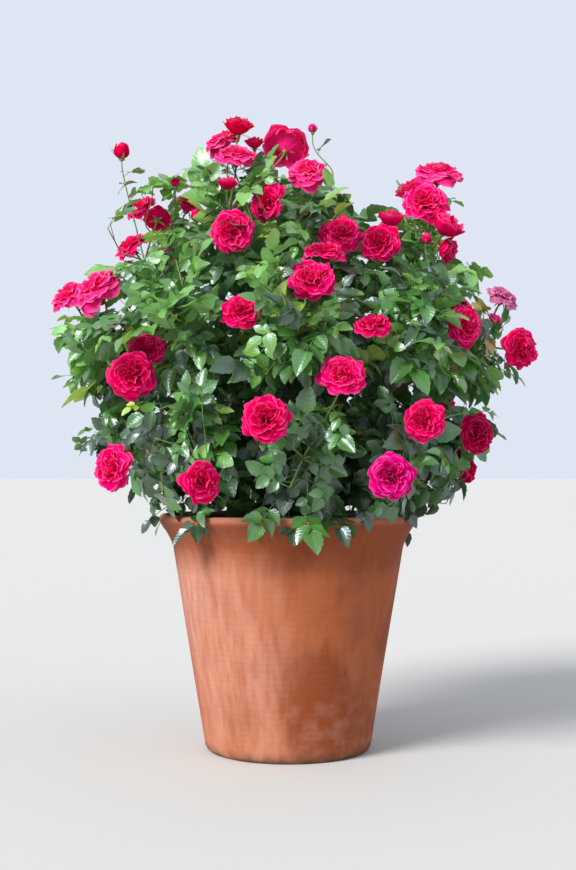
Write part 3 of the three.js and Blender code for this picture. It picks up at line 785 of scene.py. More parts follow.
def open_gaps(mass):
    """Leaves a mass's gaps free of leaves and of the sprigs that would stand bare in them."""
    mass.leaves = [leaf for leaf in mass.leaves if not in_open_air(leaf.spots).any()]
    mass.sprigs = [sprig for sprig in mass.sprigs if not in_open_air(sprig.points[-1][None])[0]]
    mass.stems = mass.shoots + mass.sprigs


def grow_upper_leaves(own, mass, draw):
    """Small leaves up the long stems whose flowers stand clear of the crown."""
    for shoot in mass.shoots:
        if shoot.held is None:
            continue
        foot, neck = shoot.points[-3:-1]
        length, heading, side, over = run_axes(foot, neck)
        turn = 2 * math.pi * draw()
        for below in UPPER_LEAVES:
            turn += GOLDEN_ANGLE
            root = neck - heading * below
            roots = np.array([leaf.root for leaf in mass.leaves])
            if below > length - 12 or np.linalg.norm(roots - root, axis=1).min() < 20:
                continue
            for k in range(6):
                spin = turn + 1.05 * k
                way = side * math.cos(spin) + over * math.sin(spin) + heading * 0.4
                face = heading * 0.8 + unit(root - CORE) * 0.5 + np.array([draw() - 0.5, draw() - 0.5, 0]) * 0.5
                size = 0.36 + 0.0022 * below + 0.1 * draw()
                leaf = SimpleNamespace(root=root, way=unit(way), face=face, size=size)
                spots = leaf_spots(leaf)
                others = np.concatenate([other.spots for other in mass.leaves])
                apart = ((others[:, None] - spots) ** 2).sum(axis=2).min()
                if apart > 64 and clear_of_flowers(spots, own, 5) and not in_open_air(spots).any():
                    mass.leaves.append(leaf)
                    break


def grow_rim_leaves(bush, draw):
    """A few leaves on arching twigs that lie over the pot's rim and hang down outside it."""
    feet = np.array([point for stem in bush.shoots + bush.sprigs for point in stem.points])
    feet = feet[(feet[:, 2] > 462) & (feet[:, 2] < 600)]
    for bearing, whole in RIM_LEAVES:
        out = np.array([math.cos(math.radians(bearing)), math.sin(math.radians(bearing)), 0])
        root = out * (POT.rim_radius - 6 - 26 * draw()) + UP * (POT.height + 8 + 22 * draw())
        foot = feet[np.argmin(np.linalg.norm(feet - root + out * 30, axis=1))]
        knee = (root + foot) / 2 - out * 12 + UP * 14
        twig = SimpleNamespace(points=[foot, knee, root], order=ORDERS, held=None, origin=RIM_ORIGIN)
        bush.sprigs.append(twig)
        way = out * 0.5 - UP * 0.4 + np.array([draw() - 0.5, draw() - 0.5, 0]) * 0.7
        face = UP * 0.5 + out * 0.9 + np.array([draw() - 0.5, draw() - 0.5, 0]) * 0.7
        size = whole / LEAF.length
        leaf = SimpleNamespace(root=root, way=unit(way), face=face, size=size)
        leaf_spots(leaf)
        bush.leaves.append(leaf)


def later_runs(shoots):
    """The runs of each bent shoot after its first one, as shoots of their own."""
    return [
        SimpleNamespace(**{**vars(shoot), "points": shoot.points[k : k + 2], "steps": (0, 1)})
        for shoot in shoots
        for k in range(1, len(shoot.points) - 1)
    ]


@functools.cache
def grown_bush():
    """Every mass's shoots, sprigs and leaves, with the spurs between them."""
    masses = []
    for own in range(len(MASSES)):
        draw = draws_from(SEEDS.first_mass + SEEDS.mass_step * own)
        shoots, leaves = grow_shoots(own, draw), []
        leaves_on(shoots, own, draw, leaves, LEAF, shoots)
        counts = len(shoots), len(leaves)
        runs = runs_of(shoots)
        for shoot in shoots:
            if shoot.held is None and shoot.order:
                end_leaf(shoot, own, draw, leaves, runs)
        sprigs = grow_sprigs(shoots, own, draw)
        runs = runs_of(shoots + sprigs)
        sprigs = [sprig for sprig in sprigs if end_leaf(sprig, own, draw, leaves, runs)]
        stems = shoots + sprigs
        leaves_on(sprigs, own, draw, leaves, SPRIG_FILL, stems)
        leaves_on(shoots, own, draw, leaves, FILL, stems)
        leaves_on(later_runs(shoots), own, draw, leaves, LATER_FILL, stems)
        masses.append(SimpleNamespace(shoots=shoots, sprigs=sprigs, stems=stems, leaves=leaves, counts=counts))
    draw = draws_from(SEEDS.fill)
    grow_spurs(masses, draw)
    for own, mass in enumerate(masses):
        open_gaps(mass)
        grow_upper_leaves(own, mass, draw)
        trim_bare_tips(mass)
    bush = SimpleNamespace(counts=[mass.counts for mass in masses])
    for part in ("shoots", "sprigs", "leaves"):
        setattr(bush, part, [each for mass in masses for each in getattr(mass, part)])
    grow_rim_leaves(bush, draw)
    return bush


# ---- Mesh tools ---------------------------------------------------------------------------------------


class Shape:
    """A small shape from bmesh operators, kept as arrays so that it can be laid down many times."""

    def __init__(self, bm, uv_of=None):
        bm.verts.index_update()
        self.points = np.array([v.co for v in bm.verts], float)
        self.corners = np.array([loop.vert.index for face in bm.faces for loop in face.loops], np.int32)
        self.totals = np.array([len(face.loops) for face in bm.faces], np.int32)
        if uv_of:
            self.uv = np.array([uv_of(face, loop.vert.co) for face in bm.faces for loop in face.loops], float)
        else:
            layer = bm.loops.layers.uv.active
            self.uv = np.array([loop[layer].uv for face in bm.faces for loop in face.loops], float)
        bm.free()


@functools.cache
def sheet_shape(across, along):
    """A flat sheet of quads: X from -1 to 1 across it and Y from 0 to 1 along it."""
    bm = bmesh.new()
    layer = bm.loops.layers.uv.new("OFBake")
    bmesh.ops.create_grid(bm, x_segments=across, y_segments=along, size=1, calc_uvs=True)
    for vert in bm.verts:
        vert.co.y = (vert.co.y + 1) / 2
    for face in bm.faces:
        for loop in face.loops:
            loop[layer].uv = ((loop.vert.co.x + 1) / 2, loop.vert.co.y)
    return Shape(bm)


@functools.cache
def bar_shape(sides, steps):
    """A closed round bar of radius 1 with rings of edges, from 0 to 1 along Z."""
    bm = bmesh.new()
    bmesh.ops.create_cone(bm, cap_ends=True, segments=sides, radius1=1, radius2=1, depth=1)
    bmesh.ops.translate(bm, verts=bm.verts, vec=(0, 0, 0.5))
    for step in range(1, steps):
        geom = bm.verts[:] + bm.edges[:] + bm.faces[:]
        bmesh.ops.bisect_plane(bm, geom=geom, plane_co=(0, 0, step / steps), plane_no=(0, 0, 1))

    def uv_of(face, co):
        if abs(face.normal.z) > 0.5:  # the caps take a small patch at their end
            return 0.5 + 0.04 * co.x, 0.04 + 0.92 * co.z + 0.03 * co.y
        middle = face.calc_center_median()
        base = math.atan2(middle.y, middle.x)
        turn = math.remainder(math.atan2(co.y, co.x) - base, 2 * math.pi)
        return (base + turn) / (2 * math.pi) * 0.9 + 0.5, co.z

    bm.normal_update()
    return Shape(bm, uv_of)


class Heap:
    """Many small shapes laid down together, to be joined into one mesh."""

    CELLS = 4  # the shapes' maps are stacked in a square of cells, so many wide

    def __init__(self):
        self.points, self.corners, self.totals, self.uv = [], [], [], []
        self.count = 0

    def lay(self, shape, points, cells):
        """Lays copies of a shape at the given places, an array of copies by vertices by 3 in millimetres."""
        points = np.asarray(points, float)
        copies, verts = points.shape[:2]
        if not copies:
            return
        cells = np.broadcast_to(np.asarray(cells), copies)
        start = self.count + np.arange(copies) * verts
        self.points.append(points.reshape(-1, 3) * MM)
        self.corners.append((shape.corners + start[:, None]).ravel())
        self.totals.append(np.tile(shape.totals, copies))
        corner = np.stack([cells % self.CELLS, cells // self.CELLS], axis=1)
        local = 0.03 + 0.94 * np.clip(shape.uv, 0, 1)
        self.uv.append(((local + corner[:, None]) / self.CELLS).reshape(-1, 2))
        self.count += copies * verts

    def mesh(self, name):
        """All that was laid down, as one mesh."""
        points, corners = np.concatenate(self.points), np.concatenate(self.corners)
        totals, uv = np.concatenate(self.totals), np.concatenate(self.uv)
        mesh = bpy.data.meshes.new(name)
        mesh.vertices.add(len(points))
        mesh.vertices.foreach_set("co", points.ravel())
        mesh.loops.add(len(corners))
        mesh.loops.foreach_set("vertex_index", corners.astype(np.int32))
        mesh.polygons.add(len(totals))
        mesh.polygons.foreach_set("loop_start", (np.cumsum(totals) - totals).astype(np.int32))
        mesh.update(calc_edges=True)
        mesh.uv_layers.new(name="OFBake").data.foreach_set("uv", uv.ravel())
        mesh.polygons.foreach_set("use_smooth", np.ones(len(totals), bool))
        mesh.validate()
        return mesh


def frames_along(points):
    """Headings and two directions square to them at each point of a line, carried along without a twist."""
    headings = np.gradient(points, axis=0)
    headings /= np.linalg.norm(headings, axis=1)[:, None]
    side, sides = square_to(headings[0])[0], []
    for heading in headings:
        side = unit(side - heading * (heading @ side))
        sides.append(side)
    sides = np.array(sides)
    return headings, sides, np.cross(headings, sides)


def lay_bar(heap, points, girths, sides, cell):
    """A round bar through the given points with the given girths."""
    points = np.asarray(points, float)
    shape = bar_shape(sides, len(points) - 1)
    _, side, over = frames_along(points)
    step = np.rint(shape.points[:, 2] * (len(points) - 1)).astype(int)
    x, y = shape.points[:, :1], shape.points[:, 1:2]
    girth = np.asarray(girths, float)[step][:, None]
    heap.lay(shape, (points[step] + (side[step] * x + over[step] * y) * girth)[None], cell)


def rounded(points, spacing=9, ease=45):
    """A bent line with its corners eased, as points at an even spacing."""
    points = [np.asarray(p, float) for p in points]
    line = [points[0]]
    for before, corner, after in zip(points, points[1:], points[2:]):
        cut = [min(ease, 0.45 * np.linalg.norm(end - corner)) for end in (before, after)]
        start = corner + unit(before - corner) * cut[0]
        end = corner + unit(after - corner) * cut[1]
        t = np.linspace(0, 1, 6)[:, None]
        line += list(bent(t, start, corner, end))
    line = np.array(line + [points[-1]])
    lengths = lengths_along(line)
    count = max(2, round(lengths[-1] / spacing)) + 1
    return points_at(np.linspace(0, lengths[-1], count), lengths, line)


# ---- Colours and materials ------------------------------------------------------------------------------


def linear(code):
    """The linear colour of an sRGB hex value."""
    channels = [int(code[i : i + 2], 16) / 255 for i in (1, 3, 5)]
    return tuple(c / 12.92 if c <= 0.04045 else ((c + 0.055) / 1.055) ** 2.4 for c in channels)


def add(tree, kind, inputs=None, take=0, **settings):
    """Adds a node with its settings, sets or links its inputs, and returns the output to take from it."""
    node = tree.nodes.new("ShaderNode" + kind)
    for name, value in settings.items():
        setattr(node, name, value)
    for name, value in (inputs or {}).items():
        socket = node.inputs[name]
        if isinstance(value, bpy.types.NodeSocket):
            tree.links.new(value, socket)
        elif socket.type == "RGBA" and len(value) == 3:
            socket.default_value = (*value, 1)
        else:
            socket.default_value = value
    return node.outputs[take] if node.outputs else None


def material(name):
    """An empty material and its node tree."""
    made = bpy.data.materials.new(name)
    made.use_nodes = True
    made.node_tree.nodes.clear()
    return made, made.node_tree


def show(name, mesh, finish, nodes):
    """Puts a finished mesh in the scene in place of its nodes, riding on the plant."""
    mesh.materials.clear()
    mesh.materials.append(finish)
    piece = bpy.data.objects.new(name, mesh)
    bpy.context.scene.collection.objects.link(piece)
    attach(piece, "root")
    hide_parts(*nodes)
    return piece


# ---- Settings -------------------------------------------------------------------------------------------


def tone(name, description, code):
    """A colour in the panel, given as a hex value."""
    return FloatVectorProperty(
        name=name, description=description, subtype="COLOR", size=3, min=0, max=1, default=linear(code)
    )


def length(name, description, millimetres):
    return FloatProperty(name=name, description=description, unit="LENGTH", min=0, default=millimetres * MM)


class PotSettings(bpy.types.PropertyGroup):
    clay: tone("Fired clay", "Colour of the bare terracotta", "#a05228")
    # The damp clay colour also paints shade: the wall's right side is mixed towards it as painted shade.
    deep_clay: tone("Damp clay", "Colour of the clay where water keeps it dark", "#76320f")
    # The lime colour also paints light: the wall's lit left side gets most of it, as painted light.
    lime: tone("Lime bloom", "Colour of the chalky salts that come through the wall", "#ba8470")
    moss: tone("Moss line", "Colour of the algae round the foot", "#4a3a22")
    wobble: length("Hand wobble", "How far the thrown wall strays from a true circle", 1.1)
    ridge: length("Throwing ridge", "Height of the ridges that the potter's fingers left", 0.35)
    compost: tone("Compost", "Colour of the potting compost", "#33261c")
    crumbs: IntProperty(name="Crumbs", description="Number of lumps lying on the compost", min=0, default=700)


class BushSettings(bpy.types.PropertyGroup):
    old_bark: tone("Old bark", "Colour of the canes near their foot", "#5d4a34")
    young_bark: tone("Young bark", "Colour of the canes further up", "#5a6433")
    green_stem: tone("Green stem", "Colour of the new shoots", "#64803c")
    red_stem: tone("Sunny stem", "Colour of the shoots' sunny side", "#7a5236")
    prickle: tone("Prickle", "Colour of the prickles", "#8c4a33")
    prickle_height: length("Prickle height", "Height of a prickle on a cane", 5.0)
    prickle_spacing: length("Prickle spacing", "Distance between prickles along a cane", 17.0)
    leaflet_share: FloatProperty(name="Leaflet length", description="As a share of its leaf", default=0.44)
    leaflet_width: FloatProperty(name="Leaflet width", description="Width as a share of the length", default=0.7)
    # Old leaves also paint shade: dealt inside and low in the crown, they darken it as painted shade.
    deep_leaf: tone("Old and shaded leaf", "Leaves low down and inside the crown", "#25431d")
    leaf: tone("Leaf", "Full-grown leaves", "#3e6c28")
    # Light leaves also paint light: dealt high up and on the left, they make the crown paler there as painted
    # light.
    pale_leaf: tone("Light leaf", "Leaves near the top of the crown", "#64963e")
    # Young leaves are also dealt more near the top, partly as painted light.
    young_leaf: tone("Young leaf", "Leaves of the newest shoots", "#88a638")
    bronze_leaf: tone("Bronze leaf", "Unfolding leaves with red in them", "#8a7a2c")
    petals: IntProperty(name="Petals", description="Petals of a full flower 80 mm across", min=5, default=80)
    sepal: tone("Sepal", "Colour of the hips and sepals", "#6f8a45")


class StageSettings(bpy.types.PropertyGroup):
    floor: tone("Floor", "Colour of the plain floor", "#b9b7b2")
    sky: tone("Sky", "Colour of the light from all round", "#eaf1ff")
    sky_strength: FloatProperty(name="Sky strength", description="Strength of the sky's light", default=0.9)
    key: FloatProperty(name="Key light", description="Strength of the light from the upper left", default=4.8)
    fill: FloatProperty(name="Fill light", description="Strength of the weak light from the right", default=0.3)
    distance: length("Camera distance", "From the camera to the pot's axis", 2600)
    eye: length("Eye height", "Height of the camera", 540)
    aim: length("Aim height", "Height on the pot's axis that the camera looks at", 602)
    lens: FloatProperty(name="Lens", description="Focal length in millimetres", default=55.5)


def settings(name):
    """The settings of one piece of the panel."""
    return getattr(bpy.context.scene, name)


# ---- Pot and compost --------------------------------------------------------------------------------------


def lathe(profile, steps):
    """Turns a profile of radius and height, in millimetres, about Z into a closed bmesh in metres."""
    bm = bmesh.new()
    verts = [bm.verts.new((radius * MM, 0, height * MM)) for radius, height in profile]
    edges = [bm.edges.new(pair) for pair in zip(verts, verts[1:])]
    bmesh.ops.spin(
        bm, geom=verts + edges, axis=(0, 0, 1), cent=(0, 0, 0), angle=2 * math.pi, steps=steps, use_merge=True
    )
    bmesh.ops.remove_doubles(bm, verts=bm.verts, dist=1e-6)
    bmesh.ops.recalc_face_normals(bm, faces=bm.faces)
    return bm


def finished(bm, name):
    mesh = bpy.data.meshes.new(name)
    bm.to_mesh(mesh)
    bm.free()
    mesh.polygons.foreach_set("use_smooth", np.ones(len(mesh.polygons), bool))
    return mesh


def pot_mesh(own):
    """The pot's wall in the round: heel, taper, flared collar, rolled rim and the hollow inside."""
    lip_height = POT.height - POT.lip
    heel = [
        (POT.foot_radius - POT.heel * (1 - math.sin(a)), POT.heel * (1 - math.cos(a)))
        for a in np.radians([0, 22, 45, 68])
    ]
    wall = [(float(pot_radius_at(z)), z) for z in np.linspace(POT.heel + 2, lip_height, 86)]
    rim = [
        (POT.rim_radius - POT.lip * (1 - math.cos(a)), lip_height + POT.lip * math.sin(a))
        for a in np.radians([18, 36, 54, 72, 90, 108, 126, 144, 162])
    ]
    inner = [(float(inside_radius_at(z)), z) for z in np.linspace(lip_height, POT.floor + 8, 40)]
    foot = [(inner[-1][0] - 9, POT.floor), (0, POT.floor)]
    bm = lathe([(0, 0)] + heel + wall + rim + inner + foot, 180)
    for vert in bm.verts:
        radius = math.hypot(vert.co.x, vert.co.y)
        if radius < 0.14:
            continue
        height = vert.co.z / MM
        around = Vector((vert.co.x / radius, vert.co.y / radius, 0))
        slow = noise.noise(around * 0.9 + Vector((0, 0, height * 0.004)))
        ridges = math.sin(height * 0.52 + 2.2 * noise.noise(around * 1.3)) * (0.4 + 0.6 * (height > 340))
        out = own.wobble * slow + own.ridge * ridges * noise.noise(Vector((0, 3.1, height * 0.03)))
        vert.co += around * out
        if height > lip_height:
            vert.co.z += own.wobble * 0.7 * noise.noise(around * 2.1)
    return finished(bm, "terracotta_pot")


def terracotta(own):
    """Thrown terracotta, fired without a glaze and left outdoors: a dry, chalky orange with lime runs down
    the wall, clay darkened by water low on one side and a line of algae round the foot. The right side is
    painted darker as painted shade, the lime on the lit left side paints it paler as painted light, and
    the collar is darker."""
    finish, tree = material("Weathered thrown terracotta")
    place = add(tree, "TexCoord", take="Object")
    axes = add(tree, "SeparateXYZ", {"Vector": place}).node.outputs
    tall = add(tree, "Mapping", {"Vector": place, "Scale": (1, 1, 0.1)})

    # Runs about 70 mm wide and many times as long, and thin ones of 10 mm.
    runs = add(tree, "TexNoise", {"Vector": tall, "Scale": 14, "Detail": 6})
    thin_runs = add(tree, "TexNoise", {"Vector": tall, "Scale": 90, "Detail": 6})
    patches = add(tree, "TexNoise", {"Vector": place, "Scale": 9, "Detail": 8})
    scuffs = add(tree, "TexNoise", {"Vector": place, "Scale": 32, "Detail": 9})
    # Grit of 2 to 3 mm, coarser than the real clay's so that it shows.
    grain = add(tree, "TexNoise", {"Vector": place, "Scale": 420, "Detail": 3})

    # The clay stays damp and dark in one patch low down and is darker up in the collar, and the right side,
    # away from the light, is mixed towards the damp colour as painted shade.
    damp_and_shade = add(tree, "MapRange", {"Value": patches, "From Min": 0.44, "From Max": 0.66})
    # painted shade: the right side of the wall, away from the key light, is mixed towards the damp clay colour
    shaded = add(tree, "MapRange", {"Value": axes["X"], "From Min": -0.12, "From Max": 0.22})
    damp_and_shade = add(tree, "Math", {0: shaded, 1: 0.4, 2: damp_and_shade}, operation="MULTIPLY_ADD")
    collar = {"Value": axes["Z"], "From Min": 0.33, "From Max": 0.375, "To Max": 0.6}
    collar = add(tree, "MapRange", collar, interpolation_type="SMOOTHSTEP")
    damp_and_shade = add(tree, "Math", {0: damp_and_shade, 1: collar}, operation="ADD")
    seep = add(tree, "Mapping", {"Vector": place, "Location": (0.06, -0.165, 0.1)}, vector_type="TEXTURE")
    reach = add(tree, "VectorMath", {"Vector": seep}, "Value", operation="LENGTH")
    reach = add(tree, "Math", {0: runs, 1: -0.16, 2: reach}, operation="MULTIPLY_ADD")
    seep = {"Value": reach, "From Min": 0.03, "From Max": -0.03, "To Max": 0.9}
    seep = add(tree, "MapRange", seep, interpolation_type="SMOOTHSTEP")
    damp_and_shade = add(tree, "Math", {0: damp_and_shade, 1: seep}, operation="ADD", use_clamp=True)
    damp_and_shade = add(tree, "Math", {0: damp_and_shade, 1: 0.75}, operation="MULTIPLY")
    clay = add(tree, "Mix", {"Factor": damp_and_shade, "A": own.clay, "B": own.deep_clay}, "Result", data_type="RGBA")
    streak = add(tree, "MapRange", {"Value": thin_runs, "From Min": 0.54, "From Max": 0.72, "To Max": 0.35})
    clay = add(tree, "Mix", {"Factor": streak, "A": clay, "B": own.deep_clay}, "Result", data_type="RGBA")

    # Lime comes through in soft runs that thin ones break up, most of all on the sunny side: the lit left
    # side, which the lime paints paler as painted light on top of the real bloom. There is less of it in
    # the collar and none in the damp patch, and the lip is bleached.
    sunny = {"Value": axes["X"], "From Min": 0.14, "From Max": -0.17, "To Min": 0.15, "To Max": 1}
    sunny = add(tree, "MapRange", sunny)
    below = {"Value": axes["Z"], "From Min": 0.395, "From Max": 0.34, "To Min": 0.15, "To Max": 1}
    below = add(tree, "MapRange", below)
    sunny = add(tree, "Math", {0: sunny, 1: below}, operation="MULTIPLY")
    soft = {"Value": runs, "From Min": 0.68, "From Max": 0.32, "To Min": 0.2}
    soft = add(tree, "MapRange", soft, interpolation_type="SMOOTHSTEP")
    broken = {"Value": thin_runs, "From Min": 0.62, "From Max": 0.36, "To Min": 0.6, "To Max": 1}
    broken = add(tree, "MapRange", broken)
    soft = add(tree, "Math", {0: soft, 1: broken}, operation="MULTIPLY")
    limed = add(tree, "Math", {0: soft, 1: sunny}, operation="MULTIPLY")
    dry = add(tree, "Math", {0: 1, 1: seep}, operation="SUBTRACT", use_clamp=True)
    limed = add(tree, "Math", {0: limed, 1: dry}, operation="MULTIPLY")
    lip = add(tree, "MapRange", {"Value": axes["Z"], "From Min": 0.432, "From Max": 0.448, "To Max": 0.5})
    limed = add(tree, "Math", {0: limed, 1: lip}, operation="MAXIMUM")
    low = add(tree, "MapRange", {"Value": axes["Z"], "From Min": 0.22, "From Max": 0.03, "To Max": 0.4})
    cloud = add(tree, "MapRange", {"Value": scuffs, "From Min": 0.4, "From Max": 0.7})
    cloud = add(tree, "Math", {0: cloud, 1: low}, operation="MULTIPLY")
    limed = add(tree, "Math", {0: limed, 1: cloud}, operation="MAXIMUM")
    clay = add(tree, "Mix", {"Factor": limed, "A": clay, "B": own.lime}, "Result", data_type="RGBA")

    # Algae grow in the damp corner where the wall meets the ground.
    near = add(tree, "MapRange", {"Value": axes["Z"], "From Min": 0.024, "From Max": 0.004, "To Max": 0.9})
    ragged = add(tree, "MapRange", {"Value": scuffs, "From Min": 0.35, "From Max": 0.6, "To Min": 0.3})
    moss = add(tree, "Math", {0: near, 1: ragged}, operation="MULTIPLY")
    clay = add(tree, "Mix", {"Factor": moss, "A": clay, "B": own.moss}, "Result", data_type="RGBA")
    grit = add(tree, "MapRange", {"Value": grain, "From Min": 0.62, "From Max": 0.75, "To Max": 0.3})
    clay = add(tree, "Mix", {"Factor": grit, "A": clay, "B": own.deep_clay}, "Result", data_type="RGBA")

    bands = {"Vector": place, "Scale": 26, "Distortion": 3, "Detail": 2, "Detail Scale": 1.5}
    rings = add(tree, "TexWave", bands, "Fac", wave_type="BANDS", bands_direction="Z")
    relief = add(tree, "Math", {0: rings, 1: 0.35, 2: grain}, operation="MULTIPLY_ADD")
    bump = add(tree, "Bump", {"Strength": 0.35, "Distance": 0.0012, "Height": relief})
    rough = add(tree, "MapRange", {"Value": limed, "To Min": 0.78, "To Max": 0.92})
    inputs = {"Base Color": clay, "Roughness": rough, "IOR": 1.5, "Specular IOR Level": 0.3, "Normal": bump}
    shader = add(tree, "BsdfPrincipled", inputs)
    add(tree, "OutputMaterial", {"Surface": shader})
    return finish


def compost_mesh(own):
    """A low dome that fills the pot, rough on top, with crumbs lying on it."""
    edge = SOIL.top - SOIL.dome
    wall = [(float(inside_radius_at(z)) - 1.5, z) for z in (POT.floor + 2, 200, POT.neck_height, edge)]
    top = [(radius, SOIL.top - SOIL.dome * ((radius - 56) / 165) ** 2) for radius in np.linspace(206, 64, 26)]
    bm = lathe([(0, wall[0][1])] + wall + top + [(0, SOIL.top)], 120)
    for vert in bm.verts:
        if vert.co.z > (edge - 1) * MM:
            rough = noise.fractal(vert.co * 60, 0.8, 2.1, 4)
            vert.co.z += max(-0.004, min(0.003, 0.0035 * rough))
    rng = np.random.default_rng(31)
    crumb = bmesh.new()
    bmesh.ops.create_icosphere(crumb, subdivisions=1, radius=1)
    shape = Shape(crumb, lambda face, co: (0.5 + 0.4 * co.x, 0.5 + 0.4 * co.y))
    heap = Heap()
    count = own.crumbs
    bearing, radius = rng.uniform(0, 2 * math.pi, count), 215 * np.sqrt(rng.uniform(0.06, 1, count))
    size = rng.uniform(1.5, 4.5, (count, 1, 1)) * rng.uniform(0.6, 1.2, (count, 1, 3))
    rough = 1 + 0.25 * rng.uniform(-1, 1, (count, len(shape.points), 1))
    at = np.stack([radius * np.cos(bearing), radius * np.sin(bearing), np.full(count, 409.0)], axis=1)
    heap.lay(shape, shape.points * size * rough + at[:, None], 0)
    lumps = heap.mesh("crumbs")
    bm.from_mesh(lumps)
    bpy.data.meshes.remove(lumps)
    return finished(bm, "potting_compost")


def compost_finish(own):
    """Bark compost, dug over and watered: dark, crumbly and matt."""
    finish, tree = material("Crumbly bark compost")
    place = add(tree, "TexCoord", take="Object")
    crumbs = add(tree, "TexNoise", {"Vector": place, "Scale": 160, "Detail": 6})
    share = add(tree, "MapRange", {"Value": crumbs, "From Min": 0.35, "From Max": 0.75})
    dark = tuple(c * 0.35 for c in own.compost)
    mixed = add(tree, "Mix", {"Factor": share, "A": dark, "B": own.compost}, "Result", data_type="RGBA")
    bump = add(tree, "Bump", {"Strength": 0.8, "Distance": 0.003, "Height": crumbs})
    shader = add(tree, "BsdfPrincipled", {"Base Color": mixed, "Roughness": 0.95, "IOR": 1.45, "Normal": bump})
    add(tree, "OutputMaterial", {"Surface": shader})
    return finish


# ---- Wood, shoots and leaf stalks ----------------------------------------------------------------------------

STEM_GIRTHS = ((3.3, 2.2), (1.9, 1.45), (1.3, 1.0), (1.0, 0.7))


def cane_points(limb, steps):
    """A limb's line in even steps, with its girth at each of them."""
    points = limb.curve.along(np.linspace(0, 1, steps + 1))
    girths = np.linspace(limb.size.foot, limb.size.tip, steps + 1)
    return points, girths


def knuckle_shape():
    """The gnarled knuckle where the canes spring."""
    flare, top, height = UNION.flare_radius, UNION.top_radius, UNION.height
    outer = [(flare, 0), (flare * 0.93, 5), (flare * 0.72, 13), (top * 0.92, 23), (top, 36), (top * 0.95, height)]
    crown = [(top * 0.5, UNION_TOP + 1), (0, UNION_TOP + 1)]
    profile = [(0, UNION_FOOT)] + [(r, UNION_FOOT + h) for r, h in outer] + crown
    bm = lathe(profile, 40)
    bmesh.ops.subdivide_edges(bm, edges=bm.edges, cuts=1, use_grid_fill=True)
    for vert in bm.verts:
        if vert.co.z > (UNION_FOOT + 2) * MM:
            lump = noise.fractal(vert.co * 42, 0.9, 2.1, 4)
            vert.co.x *= 1 + 0.10 * lump
            vert.co.y *= 1 + 0.10 * lump
    bmesh.ops.scale(bm, vec=(1 / MM,) * 3, verts=bm.verts)
    return Shape(bm, lambda face, co: (0.5 + co.x / 140, (co.z - UNION_FOOT) / 60))


def wood_heap():
    """The knuckle, canes and side boughs, with ridged bark and the swollen rings of old buds."""
    heap = Heap()
    knuckle = knuckle_shape()
    heap.lay(knuckle, knuckle.points[None], 0)
    rng = np.random.default_rng(11)
    sides = 10
    for number, limb in enumerate(grown_limbs().values()):
        steps = max(24, round(limb.curve.lengths[-1] / 5))
        points, girths = cane_points(limb, steps)
        along = np.linspace(0, limb.curve.lengths[-1], steps + 1)
        phase = rng.uniform(0, 48)
        ring = np.exp(-(((along - phase) % 48 - 4) ** 2) / 6)
        girths = girths * (0.96 + 0.16 * ring)
        shape = bar_shape(sides, steps)
        _, side, over = frames_along(points)
        step = np.rint(shape.points[:, 2] * steps).astype(int)
        x, y = shape.points[:, :1], shape.points[:, 1:2]
        spots = np.stack([3 * x[:, 0], 3 * y[:, 0], 0.02 * along[step] + number], axis=1)
        ridges = np.array([noise.noise(Vector(spot)) for spot in spots])
        girth = (girths[step] * (1 + 0.09 * ridges))[:, None]
        heap.lay(shape, (points[step] + (side[step] * x + over[step] * y) * girth)[None], number % 16)
    return heap


@functools.cache
def prickle_shape():
    """A hooked prickle: a flattened cone, 1 high, with its tip drawn down."""
    bm = bmesh.new()
    bmesh.ops.create_cone(bm, cap_ends=True, segments=6, radius1=0.42, radius2=0.02, depth=1)
    bmesh.ops.translate(bm, verts=bm.verts, vec=(0, 0, 0.45))
    bmesh.ops.scale(bm, vec=(0.45, 1.25, 1), verts=bm.verts)
    geom = bm.verts[:] + bm.edges[:] + bm.faces[:]
    bmesh.ops.bisect_plane(bm, geom=geom, plane_co=(0, 0, 0.4), plane_no=(0, 0, 1))
    for vert in bm.verts:
        vert.co.y -= 0.45 * max(vert.co.z, 0) ** 2
    return Shape(bm, lambda face, co: (0.5 + 0.3 * co.x, max(co.z, 0.0)))


def lay_prickles(heap, points, girths, spacing, height, rng):
    """Prickles scattered round a limb, each hooked down towards its foot."""
    lengths = lengths_along(points)
    count = int(lengths[-1] / spacing)
    if not count:
        return
    at = rng.uniform(spacing * 0.5, lengths[-1], count)
    headings, side, over = frames_along(points)
    pick = np.clip(np.searchsorted(lengths, at), 1, len(points) - 1)
    centre = points_at(at, lengths, points)
    girth = np.interp(at, lengths, girths)
    turn = rng.uniform(0, 2 * math.pi, count)[:, None]
    out = side[pick] * np.cos(turn) + over[pick] * np.sin(turn)
    heading = headings[pick]
    aside = np.cross(heading, out)
    size = height * rng.uniform(0.55, 1.15, (count, 1, 1))
    basis = np.stack([aside, heading, out], axis=1)
    shape = prickle_shape()
    local = np.einsum("vk,ckj->cvj", shape.points, basis) * size
    heap.lay(shape, local + (centre + out * (girth[:, None] * 0.9))[:, None], rng.integers(0, 16, count))


def shoot_line(shoot):
    """A shoot's eased line and its girth along it; a shoot that bears a flower stays sturdy to the end."""
    line = rounded(shoot.points)
    foot, tip = STEM_GIRTHS[shoot.order]
    if shoot.held is not None:
        tip = max(tip, 1.25 + 0.008 * all_flowers()[shoot.held].across)
        foot = max(foot, tip + 0.2)
        if all_flowers()[shoot.held].form == "bud":
            foot, tip = foot * 0.8, tip * 0.75
    girths = np.linspace(foot, tip, len(line))
    return line, girths


def leaf_line(leaf, rng):
    """A leaf's middle stalk, sagging a little, with the leaf's length."""
    whole = LEAF.length * leaf.size
    leaf.whole = whole
    leaf.sag = whole * rng.uniform(0.03, 0.15)
    leaf.bend = whole * rng.uniform(-0.07, 0.07)
    return stalk_at(leaf, np.linspace(0, 1, 5))


